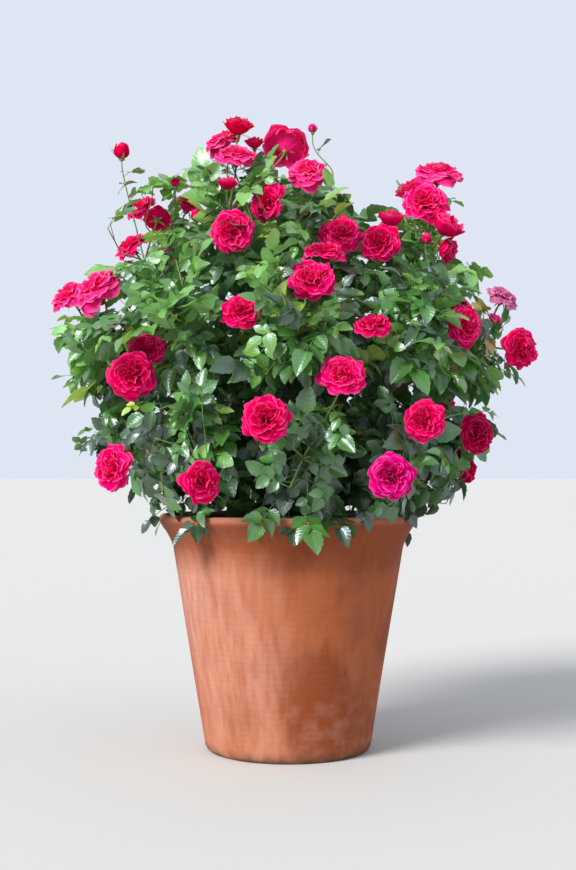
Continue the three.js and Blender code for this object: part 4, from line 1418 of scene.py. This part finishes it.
def stalk_at(leaf, t):
    """The points of a leaf's middle stalk at the shares t of its length."""
    t = np.asarray(t, float)[..., None]
    reach = leaf.way * (0.6 * leaf.whole) * t
    return leaf.root + reach - leaf.up * leaf.sag * t**2 + leaf.across * leaf.bend * t**2


def plant_finish(name, first, second, fleck, flecks, rough):
    """A stem's skin: two colours in long patches along it, with fine flecks and grooves."""
    finish, tree = material(name)
    place = add(tree, "TexCoord", take="Object")
    slow = add(tree, "TexNoise", {"Vector": place, "Scale": 14, "Detail": 3})
    fine = add(tree, "TexNoise", {"Vector": place, "Scale": 380, "Detail": 4})
    share = add(tree, "MapRange", {"Value": slow, "From Min": 0.44, "From Max": 0.68})
    mixed = add(tree, "Mix", {"Factor": share, "A": first, "B": second}, "Result", data_type="RGBA")
    spots = add(tree, "MapRange", {"Value": fine, "From Min": 0.58, "From Max": 0.7, "To Max": flecks})
    flecked = add(tree, "Mix", {"Factor": spots, "A": mixed, "B": fleck}, "Result", data_type="RGBA")
    bump = add(tree, "Bump", {"Strength": 0.3, "Distance": 0.0006, "Height": fine})
    shader = add(tree, "BsdfPrincipled", {"Base Color": flecked, "Roughness": rough, "IOR": 1.45, "Normal": bump})
    add(tree, "OutputMaterial", {"Surface": shader})
    return finish


# ---- Leaves ------------------------------------------------------------------------------------------------

LEAFLET_FORMS = 12
VEIN_PAIRS = 13


@functools.cache
def leaflet_forms():
    """Ways that a leaflet of length 1 lies: folded along its rib, drooping, rippled, with a toothed edge."""
    shape = sheet_shape(4, 9)
    x, y = shape.points[:, 0], shape.points[:, 1]
    rng = np.random.default_rng(5)
    width = settings("bush").leaflet_width / 2
    row = np.rint(y * 9)
    oval = (y + 0.012) ** 0.55 * (1.012 - y) ** 0.9
    oval = oval / oval.max() * (1 + 0.055 * np.where(row % 2, -1, 1) * (np.abs(x) > 0.9))
    forms = []
    for _ in range(LEAFLET_FORMS):
        fold, droop = rng.uniform(0.15, 0.75), rng.uniform(0.02, 0.34)
        ripple, phase, curl = rng.uniform(0.03, 0.12), rng.uniform(0, 6.3), rng.uniform(-0.1, 0.35)
        sweep, twist = rng.uniform(-0.1, 0.1), rng.uniform(-0.3, 0.3)
        out = x * oval * width
        rise = np.abs(out) * fold - curl * out**2 / width + ripple * width * np.sin(9 * y + phase) * x**2 * oval
        rise = rise - droop * y**1.8 + out * twist * y
        points = np.stack([out + sweep * y**2, y * (1 - 0.15 * droop), rise], axis=1)
        forms.append(points)
    return np.array(forms)


TINTS = ("deep", "leaf", "pale", "young", "bronze")


def tint_of(leaf, rng):
    """Which tint a leaf gets: darker inside and low down, partly older leaves and partly painted shade;
    paler above and on the left, as painted light; and young at the newest tips and near the top, the
    latter partly painted light.
    """
    middle = leaf.spots.mean(axis=0)
    x, y, z = middle
    outer = math.hypot(x, y / DEPTH_SHARE) / outline_reach(middle[None])[0]
    chances = {
        # deep: darker leaves inside the crown and low down, partly older leaves and partly painted shade
        "deep": 0.5 - 0.45 * outer + 0.3 * (z < 620) - 0.1 * (z > 900),
        "leaf": 0.45 - 0.12 * (z > 960),
        # pale: more likely the higher a leaf stands and on the lit left side, as painted light
        "pale": 0.1 * (z > 540) + 0.06 * (x < -60) + 0.12 * (z > 740) + 0.34 * (z > 880) + 0.15 * (z > 980),
        # young: more of them near the top, partly new growth and partly painted light
        "young": 0.02 * (z > 600) + 0.15 * (z > 940) + 0.05 * (leaf.size < 0.5 and outer > 0.8 and z > 620),
        "bronze": 0.08 * (280 < x < 440 and 740 < z < 960),
    }
    weights = np.array([max(chances[tint], 0) for tint in TINTS])
    return TINTS[rng.choice(len(TINTS), p=weights / weights.sum())]


def lay_leaf(heaps, leaf, rng):
    """One leaf of three, five or seven leaflets along its stalk."""
    own = settings("bush")
    whole = leaf.whole
    count = 3 if leaf.size < 0.5 or rng.random() < 0.12 else 7 if leaf.size > 0.95 and rng.random() < 0.3 else 5
    pairs = {3: [0.72], 5: [0.42, 0.8], 7: [0.28, 0.56, 0.84]}[count]
    spread = {3: 0.42, 5: 0.40, 7: 0.33}[count]
    places, ways, lengths = [stalk_at(leaf, 1.0)], [unit(stalk_at(leaf, 1.0) - stalk_at(leaf, 0.85))], [1.0]
    for t in pairs:
        along = unit(stalk_at(leaf, t + 0.05) - stalk_at(leaf, t - 0.05))
        for hand in (1, -1):
            angle = math.radians(rng.uniform(50, 74))
            lean = rng.uniform(-0.05, 0.32)
            way = along * math.cos(angle) + leaf.across * hand * math.sin(angle) - leaf.up * lean
            places.append(stalk_at(leaf, t + rng.uniform(-0.03, 0.03)) + leaf.across * hand * 0.6)
            ways.append(unit(way))
            smaller = 0.82 if t == pairs[0] and count > 3 else 1
            lengths.append(spread / 0.44 * rng.uniform(0.86, 1.06) * smaller)
    tilt = rng.uniform(-0.42, 0.42, len(ways))
    basis, origin = [], []
    for place, way, k, turn in zip(places, ways, lengths, tilt):
        across = unit(cross(way, leaf.up))
        up = cross(across, way)
        level, slope = math.cos(turn), math.sin(turn)
        across, up = across * level + up * slope, up * level - across * slope
        basis.append(np.stack([across, way, up]) * own.leaflet_share * whole * k)
        origin.append(place)
    basis, origin = np.array(basis), np.array(origin)
    forms = leaflet_forms()[rng.integers(0, LEAFLET_FORMS, len(basis))]
    points = np.einsum("cvk,ckj->cvj", forms, basis) + origin[:, None]
    heaps[leaf.piece].lay(sheet_shape(4, 9), points, rng.integers(0, 16, len(basis)))


def in_cells(tree):
    """The map inside one cell, as X across and Y along, and a random value for each cell."""
    uv = add(tree, "UVMap", uv_map="OFBake")
    grown = add(tree, "VectorMath", {"Vector": uv, "Scale": Heap.CELLS}, operation="SCALE")
    local = add(tree, "VectorMath", {0: grown}, operation="FRACTION")
    cell = add(tree, "VectorMath", {0: grown}, operation="FLOOR")
    luck = add(tree, "TexWhiteNoise", {"Vector": cell}, noise_dimensions="2D")
    local = add(tree, "SeparateXYZ", {"Vector": local}).node.outputs
    row = add(tree, "SeparateXYZ", {"Vector": cell}, "Y")
    return local["X"], local["Y"], luck, row


def leaf_finish(name, colour, gloss):
    """A rose leaf: a waxy, slightly bluish upper side with sunk veins and a paler, duller underside, with a
    little light coming through."""
    finish, tree = material(name)
    x, y, luck, _ = in_cells(tree)
    vein_colour, beneath = [tuple(min(1, c * k + more) for c in colour) for k, more in ((1.8, 0.03), (1.3, 0.05))]
    dark, bright, through = [tuple(min(1, c * k) for c in colour) for k in (0.6, 1.35, 2.2)]

    off = add(tree, "Math", {0: x, 1: 0.5}, operation="SUBTRACT")
    aside = add(tree, "Math", {0: off}, operation="ABSOLUTE")
    rib = add(tree, "MapRange", {"Value": aside, "From Min": 0.04, "From Max": 0.012})
    slant = add(tree, "Math", {0: aside, 1: -0.6, 2: y}, operation="MULTIPLY_ADD")
    swell = add(tree, "Math", {0: slant, 1: 1 / VEIN_PAIRS}, operation="PINGPONG")
    side_veins = add(tree, "MapRange", {"Value": swell, "From Min": 0.022, "From Max": 0.003, "To Max": 0.55})
    veins = add(tree, "Math", {0: rib, 1: side_veins}, operation="MAXIMUM")

    body = add(tree, "Mix", {"Factor": luck, "A": dark, "B": bright}, "Result", data_type="RGBA")
    share = add(tree, "Math", {0: veins, 1: 0.4}, operation="MULTIPLY")
    body = add(tree, "Mix", {"Factor": share, "A": body, "B": vein_colour}, "Result", data_type="RGBA")
    back = add(tree, "NewGeometry", take="Backfacing")
    body = add(tree, "Mix", {"Factor": back, "A": body, "B": beneath}, "Result", data_type="RGBA")
    rough = add(tree, "Math", {0: back, 1: 0.3, 2: gloss}, operation="MULTIPLY_ADD")

    swell = {"Value": swell, "From Max": 1 / VEIN_PAIRS}
    quilt = add(tree, "MapRange", swell, interpolation_type="SMOOTHSTEP")
    relief = add(tree, "Math", {0: quilt, 1: rib}, operation="SUBTRACT")
    bump = add(tree, "Bump", {"Strength": 0.4, "Distance": 0.0006, "Height": relief})
    wax = {"Specular IOR Level": 1, "Specular Tint": linear("#e4f2ff"), "Coat Weight": 1, "Coat Roughness": 0.25}
    inputs = {"Base Color": body, "Roughness": rough, "IOR": 1.5, "Normal": bump, **wax}
    shader = add(tree, "BsdfPrincipled", inputs)
    glow = add(tree, "BsdfTranslucent", {"Color": through})
    mixed = add(tree, "MixShader", {0: 0.18, 1: shader, 2: glow})
    add(tree, "OutputMaterial", {"Surface": mixed})
    return finish


# ---- Flowers -------------------------------------------------------------------------------------------------

# Heart, body and edge of the petals at each age. The pale edge colour is partly the petal's own paler margin and
# partly a painted highlight.
PETAL_TINTS = {
    "scarlet": ("#a40028", "#e00046", "#ff5c90"),
    "crimson": ("#b0003a", "#f00062", "#ff6cb2"),
    "cerise": ("#bc0048", "#fa0070", "#ff80c2"),
    "magenta": ("#a00058", "#e4007e", "#ff74c8"),
    "garnet": ("#86002c", "#c60048", "#f05890"),
    "pink": ("#d8005c", "#fc2a8a", "#ffa6d2"),
    "faded": ("#b83c78", "#e078ae", "#fcc8de"),
}


def flower_frame(head, rng):
    """A flower's own axes: two across it, turned at random, and the way that it looks."""
    side, over = square_to(head.faces)
    turn = rng.uniform(0, 2 * math.pi)
    x = side * math.cos(turn) + over * math.sin(turn)
    y = over * math.cos(turn) - side * math.sin(turn)
    return np.stack([x, y, head.faces])


def lay_petals(heap, head, rng):
    """Petals in a golden spiral from the heart to the rim. Each follows a curve from the base to its place on
    the head's domed top and wraps part of the way round the axis; the inner ones stand folded in bunches."""
    own = settings("bush")
    shape = sheet_shape(5, 5)
    s, t = shape.points[:, 0][None], shape.points[:, 1][None]
    blown = rng.uniform(0.6, 1) if head.tint in ("pink", "faded") else rng.uniform(0, 0.4)
    half = head.across / 2 * (1 + (0.14 * blown if head.form == "rosette" else 0))
    full = round(own.petals * (0.5 + 0.5 * head.across / 80) * (1 - 0.35 * blown))
    count = {"rosette": full, "cup": 26, "bud": 7}[head.form]
    k = np.arange(count)
    share = np.sqrt((k + 0.6) / count)
    turn = k * GOLDEN_ANGLE + rng.normal(0, 0.14, count)
    loose = rng.uniform(-1, 1, (8, count))
    yaw = 0 * share
    if head.form == "rosette":
        turn = turn + 0.2 * (1 - share) * np.sin(4 * turn + rng.uniform(0, 6.3))
        guard = np.clip((share - 0.88) / 0.12, 0, 1)
        base = np.stack([0.08 * share, -0.38 + 0 * share])
        bend = np.stack([lerp(0.07, 0.66, share), lerp(0.2, 0.26, share)])
        tip = np.stack([0.03 + share * (1.08 + 0.10 * loose[0]), 0.5 - (0.54 + 0.1 * blown) * share**2])
        tip[1] += 0.12 * loose[1] - guard * (0.10 + 0.20 * blown) * (1 + loose[5])
        width = lerp(0.22, 0.46, share) * (1 + 0.2 * loose[2]) * (1 + 0.4 * blown)
        cup, roll, ruffle = lerp(0.5, 0.02, share), 0.13 * share**2 + 0.05 * loose[6], lerp(0.10, 0.085, share)
        yaw = 1.3 * loose[7] * (1 - share) ** 0.7
    elif head.form == "cup":
        base = np.stack([0.08 + 0 * share, -0.72 + 0 * share])
        bend = np.stack([lerp(0.35, 1.08, share), -0.5 + 0.06 * loose[0]])
        tip = np.stack([lerp(0.06, 0.94, share) + 0.08 * loose[1], lerp(0.68, 0.26, share**2) + 0.14 * loose[2]])
        width = lerp(0.3, 0.62, share) * (1 + 0.15 * loose[3])
        cup, roll, ruffle = lerp(0.5, 0.1, share), 0.24 * share**3, 0.09 + 0 * share
        yaw = 0.9 * loose[7] * (1 - share)
    else:
        base = np.stack([0.16 + 0 * share, -0.8 + 0 * share])
        bend = np.stack([lerp(0.7, 1.75, share), -0.25 + 0 * share])
        tip = np.stack([lerp(0.02, 0.5, share**2), lerp(1.4, 1.1, share**2)])
        width = lerp(0.7, 1.1, share)
        cup, roll, ruffle = 0.1 + 0 * share, 0.12 * share**4, 0.02 + 0 * share
    base, bend, tip = (each[..., None] for each in (base, bend, tip))
    width, cup, roll, ruffle, yaw = (each[:, None] for each in (width, cup, roll, ruffle, yaw))
    loose = loose[..., None]

    # The end of a petal is an arc with a shallow notch, so its corners lie a little further back.
    rounded_t = t * (1 - 0.2 * s**2 * t**3) - 0.035 * (1 - s**2) ** 2 * t**4
    radial, height = bent(rounded_t, base, bend, tip)
    slope = 2 * (1 - t) * (bend - base) + 2 * t * (tip - bend)
    slope /= np.linalg.norm(slope, axis=0)
    swell = np.clip(t / 0.6, 0, 1)
    narrowed = np.sqrt(1 - (np.clip(t - 0.6, 0, 1) / (0.46 if head.form == "bud" else 0.62)) ** 2)
    broad = width * lerp(0.3, 1, swell * swell * (3 - 2 * swell)) * narrowed
    lateral = s * broad
    ripple = ruffle * np.sin(s * (2.6 + loose[3]) + 5 * loose[4]) * t**2
    ripple = ripple + 0.6 * ruffle * np.sin(6.5 * s + 4 * loose[5]) * t**3
    rise = cup * lateral**2 / np.maximum(width, 0.1) + ripple - roll * (np.clip(t - 0.55, 0, 1) / 0.45) ** 2
    radial = radial - slope[1] * rise + lateral * np.sin(yaw)
    height = height + slope[0] * rise
    reach = np.hypot(radial, 0.55 * broad)
    angle = turn[:, None] + 0.1 * loose[6] * t + lateral * np.cos(yaw) / np.maximum(reach, 0.05)
    local = np.stack([radial * np.cos(angle), radial * np.sin(angle), height], axis=2) * half
    points = local @ flower_frame(head, rng) + head.at
    row = np.clip((share * 4).astype(int), 0, 3)
    heap.lay(shape, points, row * 4 + rng.integers(0, 4, count))


@functools.cache
def hip_shape():
    """The small urn under a flower, from 0 down to -1."""
    outer = [(140, -1000), (330, -820), (470, -560), (500, -330), (420, -110), (360, 0)]
    bm = lathe([(0, -1050), *outer, (0, 40)], 8)
    return Shape(bm, lambda face, co: (0.5 + 0.5 * co.x, co.z + 1.04))


def lay_hip(heap, head, rng):
    """The hip and its five sepals: folded back under an open flower, and hugging a bud."""
    half = head.across / 2
    frame_of = flower_frame(head, rng)
    seat = {"rosette": -0.34, "cup": -0.68, "bud": -0.78}[head.form] * half
    wide, tall = (4.6, 9.0) if head.form != "bud" else (max(2.6, 0.42 * half), 5.5)
    hip = hip_shape()
    local = hip.points * np.array([wide * 2, wide * 2, tall]) + np.array([0, 0, seat + 1])
    heap.lay(hip, (local @ frame_of + head.at)[None], int(rng.integers(0, 16)))
    shape = sheet_shape(2, 5)
    s, t = shape.points[:, 0], shape.points[:, 1]
    for k in range(5):
        turn = 2 * math.pi * (k + 0.15 * rng.uniform(-1, 1)) / 5
        if head.form == "bud":
            base, bend = np.array([wide * 0.7, seat]), np.array([1.25 * half, seat + 0.55 * half])
            tip = np.array([lerp(1.0, 1.7, rng.random()) * half, lerp(0.1, 0.9, rng.random()) * half])
            broad = 0.3 * half
        elif head.form == "cup":
            base, bend = np.array([wide * 0.7, seat]), np.array([0.9 * half, seat - 1])
            tip = np.array([lerp(0.9, 1.1, rng.random()) * half + 3, seat - lerp(-6, 9, rng.random())])
            broad = 3.6
        else:
            base, bend = np.array([wide * 0.7, seat]), np.array([12, seat + 1.5])
            tip = np.array([lerp(15, 20, rng.random()), seat - lerp(4, 13, rng.random())])
            broad = 3.8
        radial, height = bent(t[:, None], base, bend, tip).T
        lateral = s * broad * (t + 0.08) ** 0.3 * (1.04 - t) ** 0.9
        angle = turn + lateral / np.maximum(radial, 3)
        flat = radial * np.cos(angle), radial * np.sin(angle)
        local = np.stack([*flat, height - 0.15 * np.abs(lateral)], axis=1)
        heap.lay(shape, (local @ frame_of + head.at)[None], int(rng.integers(0, 16)))


def petal_finish(name, codes):
    """A rose petal: velvety, with light coming through it, deeper at the heart and paler along its edge, the
    paler edge partly its own colour and partly a painted highlight.
    """
    heart, body, edge = (linear(code) for code in codes)
    finish, tree = material(name)
    x, y, luck, row = in_cells(tree)
    outer = add(tree, "MapRange", {"Value": row, "From Max": 3, "To Min": 0.66, "To Max": 0.74})
    outer = add(tree, "Math", {0: luck, 1: 0.35, 2: outer}, operation="MULTIPLY_ADD")
    colour = add(tree, "Mix", {"Factor": outer, "A": heart, "B": body}, "Result", data_type="RGBA")
    # painted highlight: the pale edge colour along the petal's end, partly the petal's own paler margin
    rim = {"Value": y, "From Min": 0.82, "From Max": 1, "To Max": 0.9}
    rim = add(tree, "MapRange", rim, interpolation_type="SMOOTHSTEP")
    paler = add(tree, "Math", {0: luck, 1: 0.8, 2: 0.1}, operation="MULTIPLY_ADD")
    rim = add(tree, "Math", {0: rim, 1: paler}, operation="MULTIPLY")
    colour = add(tree, "Mix", {"Factor": rim, "A": colour, "B": edge}, "Result", data_type="RGBA")
    lines = add(tree, "Math", {0: x, 1: 0.045}, operation="PINGPONG")
    thread = add(tree, "MapRange", {"Value": lines, "From Max": 0.045, "To Max": 0.12})
    colour = add(tree, "Mix", {"Factor": thread, "A": colour, "B": heart}, "Result", data_type="RGBA")
    bump = add(tree, "Bump", {"Strength": 0.2, "Distance": 0.002, "Height": lines})
    velvet = {"Roughness": 0.6, "Specular IOR Level": 0.05, "Specular Tint": edge}
    shader = add(tree, "BsdfPrincipled", {"Base Color": colour, "IOR": 1.4, "Normal": bump, **velvet})
    glow = add(tree, "BsdfTranslucent", {"Color": colour})
    mixed = add(tree, "MixShader", {0: 0.32, 1: shader, 2: glow})
    add(tree, "OutputMaterial", {"Surface": mixed})
    return finish


# ---- Operators -------------------------------------------------------------------------------------------------


class ThrowPot(bpy.types.Operator):
    """Make the terracotta pot with its flared collar, rolled rim and throwing ridges"""

    bl_idname = "rose_bush.pot"
    bl_label = "Throw the pot"

    def execute(self, context):
        own = settings("pot")
        show("terracotta_pot", pot_mesh(own), terracotta(own), ["pot"])
        return {"FINISHED"}


class FillCompost(bpy.types.Operator):
    """Fill the pot with crumbly compost"""

    bl_idname = "rose_bush.compost"
    bl_label = "Fill the compost"

    def execute(self, context):
        own = settings("pot")
        show("potting_compost", compost_mesh(own), compost_finish(own), ["soil"])
        return {"FINISHED"}


class GrowWood(bpy.types.Operator):
    """Grow the knuckle, the canes and the side boughs with their bark, and the prickles"""

    bl_idname = "rose_bush.wood"
    bl_label = "Grow the canes"

    def execute(self, context):
        own = settings("bush")
        nodes = ["bud_union"] + [limb.node for limb in grown_limbs().values()]
        bark = plant_finish("Rose cane bark", own.old_bark, own.young_bark, own.prickle, 0.6, 0.62)
        show("canes_and_boughs", wood_heap().mesh("canes_and_boughs"), bark, nodes)
        rng = np.random.default_rng(21)
        heap = Heap()
        height, spacing = own.prickle_height / MM, own.prickle_spacing / MM
        for limb in grown_limbs().values():
            points, girths = cane_points(limb, 40)
            lay_prickles(heap, points, girths, spacing, height, rng)
        for shoot in grown_bush().shoots:
            if shoot.order < 2:
                line, girths = shoot_line(shoot)
                lay_prickles(heap, line[:-2], girths[:-2], spacing * 1.4, height * 0.8, rng)
        horn = plant_finish("Rose prickle", own.prickle, own.old_bark, own.green_stem, 0.4, 0.45)
        show("prickles", heap.mesh("prickles"), horn, nodes)
        return {"FINISHED"}


class GrowShoots(bpy.types.Operator):
    """Grow the green shoots, their finest twigs and the stalks of the leaves"""

    bl_idname = "rose_bush.shoots"
    bl_label = "Grow the shoots"

    def execute(self, context):
        own, bush = settings("bush"), grown_bush()
        shoots, sprigs, stalks = Heap(), Heap(), Heap()
        for shoot in bush.shoots:
            line, girths = shoot_line(shoot)
            lay_bar(shoots, line, girths, 7, 0)
        for sprig in bush.sprigs:
            line, girths = shoot_line(sprig)
            lay_bar(sprigs, line, girths, 5, 0)
        rng = np.random.default_rng(3)
        for leaf in bush.leaves:
            line = leaf_line(leaf, rng)
            thick = 0.45 + 0.65 * leaf.size
            lay_bar(stalks, line, np.linspace(thick, thick * 0.55, len(line)), 4, 0)
        skin = plant_finish("Green rose shoot", own.green_stem, own.red_stem, own.young_leaf, 0.3, 0.42)
        show("green_shoots", shoots.mesh("green_shoots"), skin, MASS_NODES)
        thin = plant_finish("Green rose twig", own.leaf, own.green_stem, own.red_stem, 0.3, 0.45)
        show("fine_twigs", sprigs.mesh("fine_twigs"), thin, MASS_NODES)
        stalk = plant_finish("Leaf stalk", own.pale_leaf, own.green_stem, own.red_stem, 0.3, 0.45)
        show("leaf_stalks", stalks.mesh("leaf_stalks"), stalk, MASS_NODES)
        return {"FINISHED"}


class GrowLeaves(bpy.types.Operator):
    """Grow the leaves, each of three to seven toothed leaflets, in their tints"""

    bl_idname = "rose_bush.leaves"
    bl_label = "Grow the leaves"

    def execute(self, context):
        own, bush = settings("bush"), grown_bush()
        rng = np.random.default_rng(9)
        tints = {
            # old leaves also stand in as painted shade inside and low in the crown
            "deep": ("Old and shaded rose leaf", own.deep_leaf, 0.40),
            "leaf": ("Rose leaf", own.leaf, 0.36),
            # light leaves also stand in as painted light high up and on the left of the crown
            "pale": ("Light rose leaf", own.pale_leaf, 0.38),
            "young": ("Young rose leaf", own.young_leaf, 0.48),
            "bronze": ("Bronze rose leaf", own.bronze_leaf, 0.46),
        }
        heaps = {}
        for leaf in bush.leaves:
            tint = tint_of(leaf, rng)
            half = ("front" if leaf.root[1] < 0 else "back") if tint in ("deep", "leaf") else "all"
            leaf.piece = tint, half
            heaps.setdefault(leaf.piece, Heap())
            lay_leaf(heaps, leaf, rng)
        finishes = {tint: leaf_finish(*each) for tint, each in tints.items()}
        for (tint, half), heap in heaps.items():
            name = f"leaves_{tint}_{half}"
            show(name, heap.mesh(name), finishes[tint], MASS_NODES)
        return {"FINISHED"}


class OpenFlowers(bpy.types.Operator):
    """Open the flowers and buds, with their hips and sepals"""

    bl_idname = "rose_bush.flowers"
    bl_label = "Open the flowers"

    def execute(self, context):
        own = settings("bush")
        rng = np.random.default_rng(17)
        heaps, hips = {}, Heap()
        for head in all_flowers():
            heap = heaps.setdefault(head.tint, Heap())
            lay_petals(heap, head, rng)
            lay_hip(hips, head, rng)
        for tint, heap in heaps.items():
            finish = petal_finish(f"Rose petal {tint}", PETAL_TINTS[tint])
            show(f"petals_{tint}", heap.mesh(f"petals_{tint}"), finish, MASS_NODES)
        skin = plant_finish("Rose sepal", own.sepal, own.pale_leaf, own.red_stem, 0.3, 0.5)
        show("hips_and_sepals", hips.mesh("hips_and_sepals"), skin, MASS_NODES)
        return {"FINISHED"}


class SetStage(bpy.types.Operator):
    """Set the plain floor, the soft lights and the camera"""

    bl_idname = "rose_bush.stage"
    bl_label = "Set the stage"

    def execute(self, context):
        own = settings("stage")
        bm = bmesh.new()
        bmesh.ops.create_circle(bm, cap_ends=True, segments=64, radius=60)
        floor = bpy.data.objects.new("floor", finished(bm, "floor"))
        finish, tree = material("Plain matt floor")
        place = add(tree, "TexCoord", take="Object")
        cloud = add(tree, "TexNoise", {"Vector": place, "Scale": 3})
        rough = add(tree, "MapRange", {"Value": cloud, "To Min": 0.8, "To Max": 0.9})
        shader = add(tree, "BsdfPrincipled", {"Base Color": tuple(own.floor), "Roughness": rough})
        add(tree, "OutputMaterial", {"Surface": shader})
        floor.data.materials.append(finish)
        bpy.context.scene.collection.objects.link(floor)

        world = bpy.data.worlds.new("Soft sky")
        world.use_nodes = True
        sky = world.node_tree.nodes["Background"].inputs
        sky["Color"].default_value = (*own.sky, 1)
        sky["Strength"].default_value = own.sky_strength
        bpy.context.scene.world = world

        for name, place, spread, strength in (
            ("key_light", (-2.5, -2.5, 2.5), 24, own.key),
            ("fill_light", (2.6, -1.6, 1.2), 50, own.fill),
        ):
            lamp = bpy.data.lights.new(name, "SUN")
            lamp.energy, lamp.angle = strength, math.radians(spread)
            light = bpy.data.objects.new(name, lamp)
            light.location = place
            light.rotation_euler = (-Vector(place)).to_track_quat("-Z", "Y").to_euler()
            bpy.context.scene.collection.objects.link(light)

        lens = bpy.data.cameras.new("camera")
        lens.lens, lens.sensor_width = own.lens, 36
        lens.clip_start, lens.clip_end = 0.05, 200
        camera = bpy.data.objects.new("camera", lens)
        camera.location = (0, -own.distance, own.eye)
        camera.rotation_euler = (math.pi / 2 + math.atan2(own.aim - own.eye, own.distance), 0, 0)
        bpy.context.scene.collection.objects.link(camera)
        bpy.context.scene.camera = camera
        bpy.context.scene.view_settings.view_transform = "Standard"
        return {"FINISHED"}


OPERATORS = (SetStage, ThrowPot, FillCompost, GrowWood, GrowShoots, GrowLeaves, OpenFlowers)
SETTINGS = {"pot": PotSettings, "bush": BushSettings, "stage": StageSettings}


class RoseBushPanel(bpy.types.Panel):
    """Lists the pieces of the rose bush, with their sizes and colours"""

    bl_idname = "VIEW3D_PT_rose_bush"
    bl_label = "Rose Bush"
    bl_space_type = "VIEW_3D"
    bl_region_type = "UI"
    bl_category = "Rose Bush"

    def draw(self, context):
        for each in OPERATORS:
            self.layout.operator(each.bl_idname)
        for name, group in SETTINGS.items():
            box = self.layout.box()
            box.label(text=name.capitalize())
            for field in group.__annotations__:
                box.prop(getattr(context.scene, name), field)


def register():
    for each in (*SETTINGS.values(), *OPERATORS, RoseBushPanel):
        bpy.utils.register_class(each)
    for name, group in SETTINGS.items():
        setattr(bpy.types.Scene, name, PointerProperty(type=group))


def unregister():
    for name in SETTINGS:
        delattr(bpy.types.Scene, name)
    for each in (RoseBushPanel, *reversed(OPERATORS), *reversed(SETTINGS.values())):
        bpy.utils.unregister_class(each)


def main():
    register()
    for each in OPERATORS:
        family, action = each.bl_idname.split(".")
        getattr(getattr(bpy.ops, family), action)()


if __name__ == "__main__":
    main()
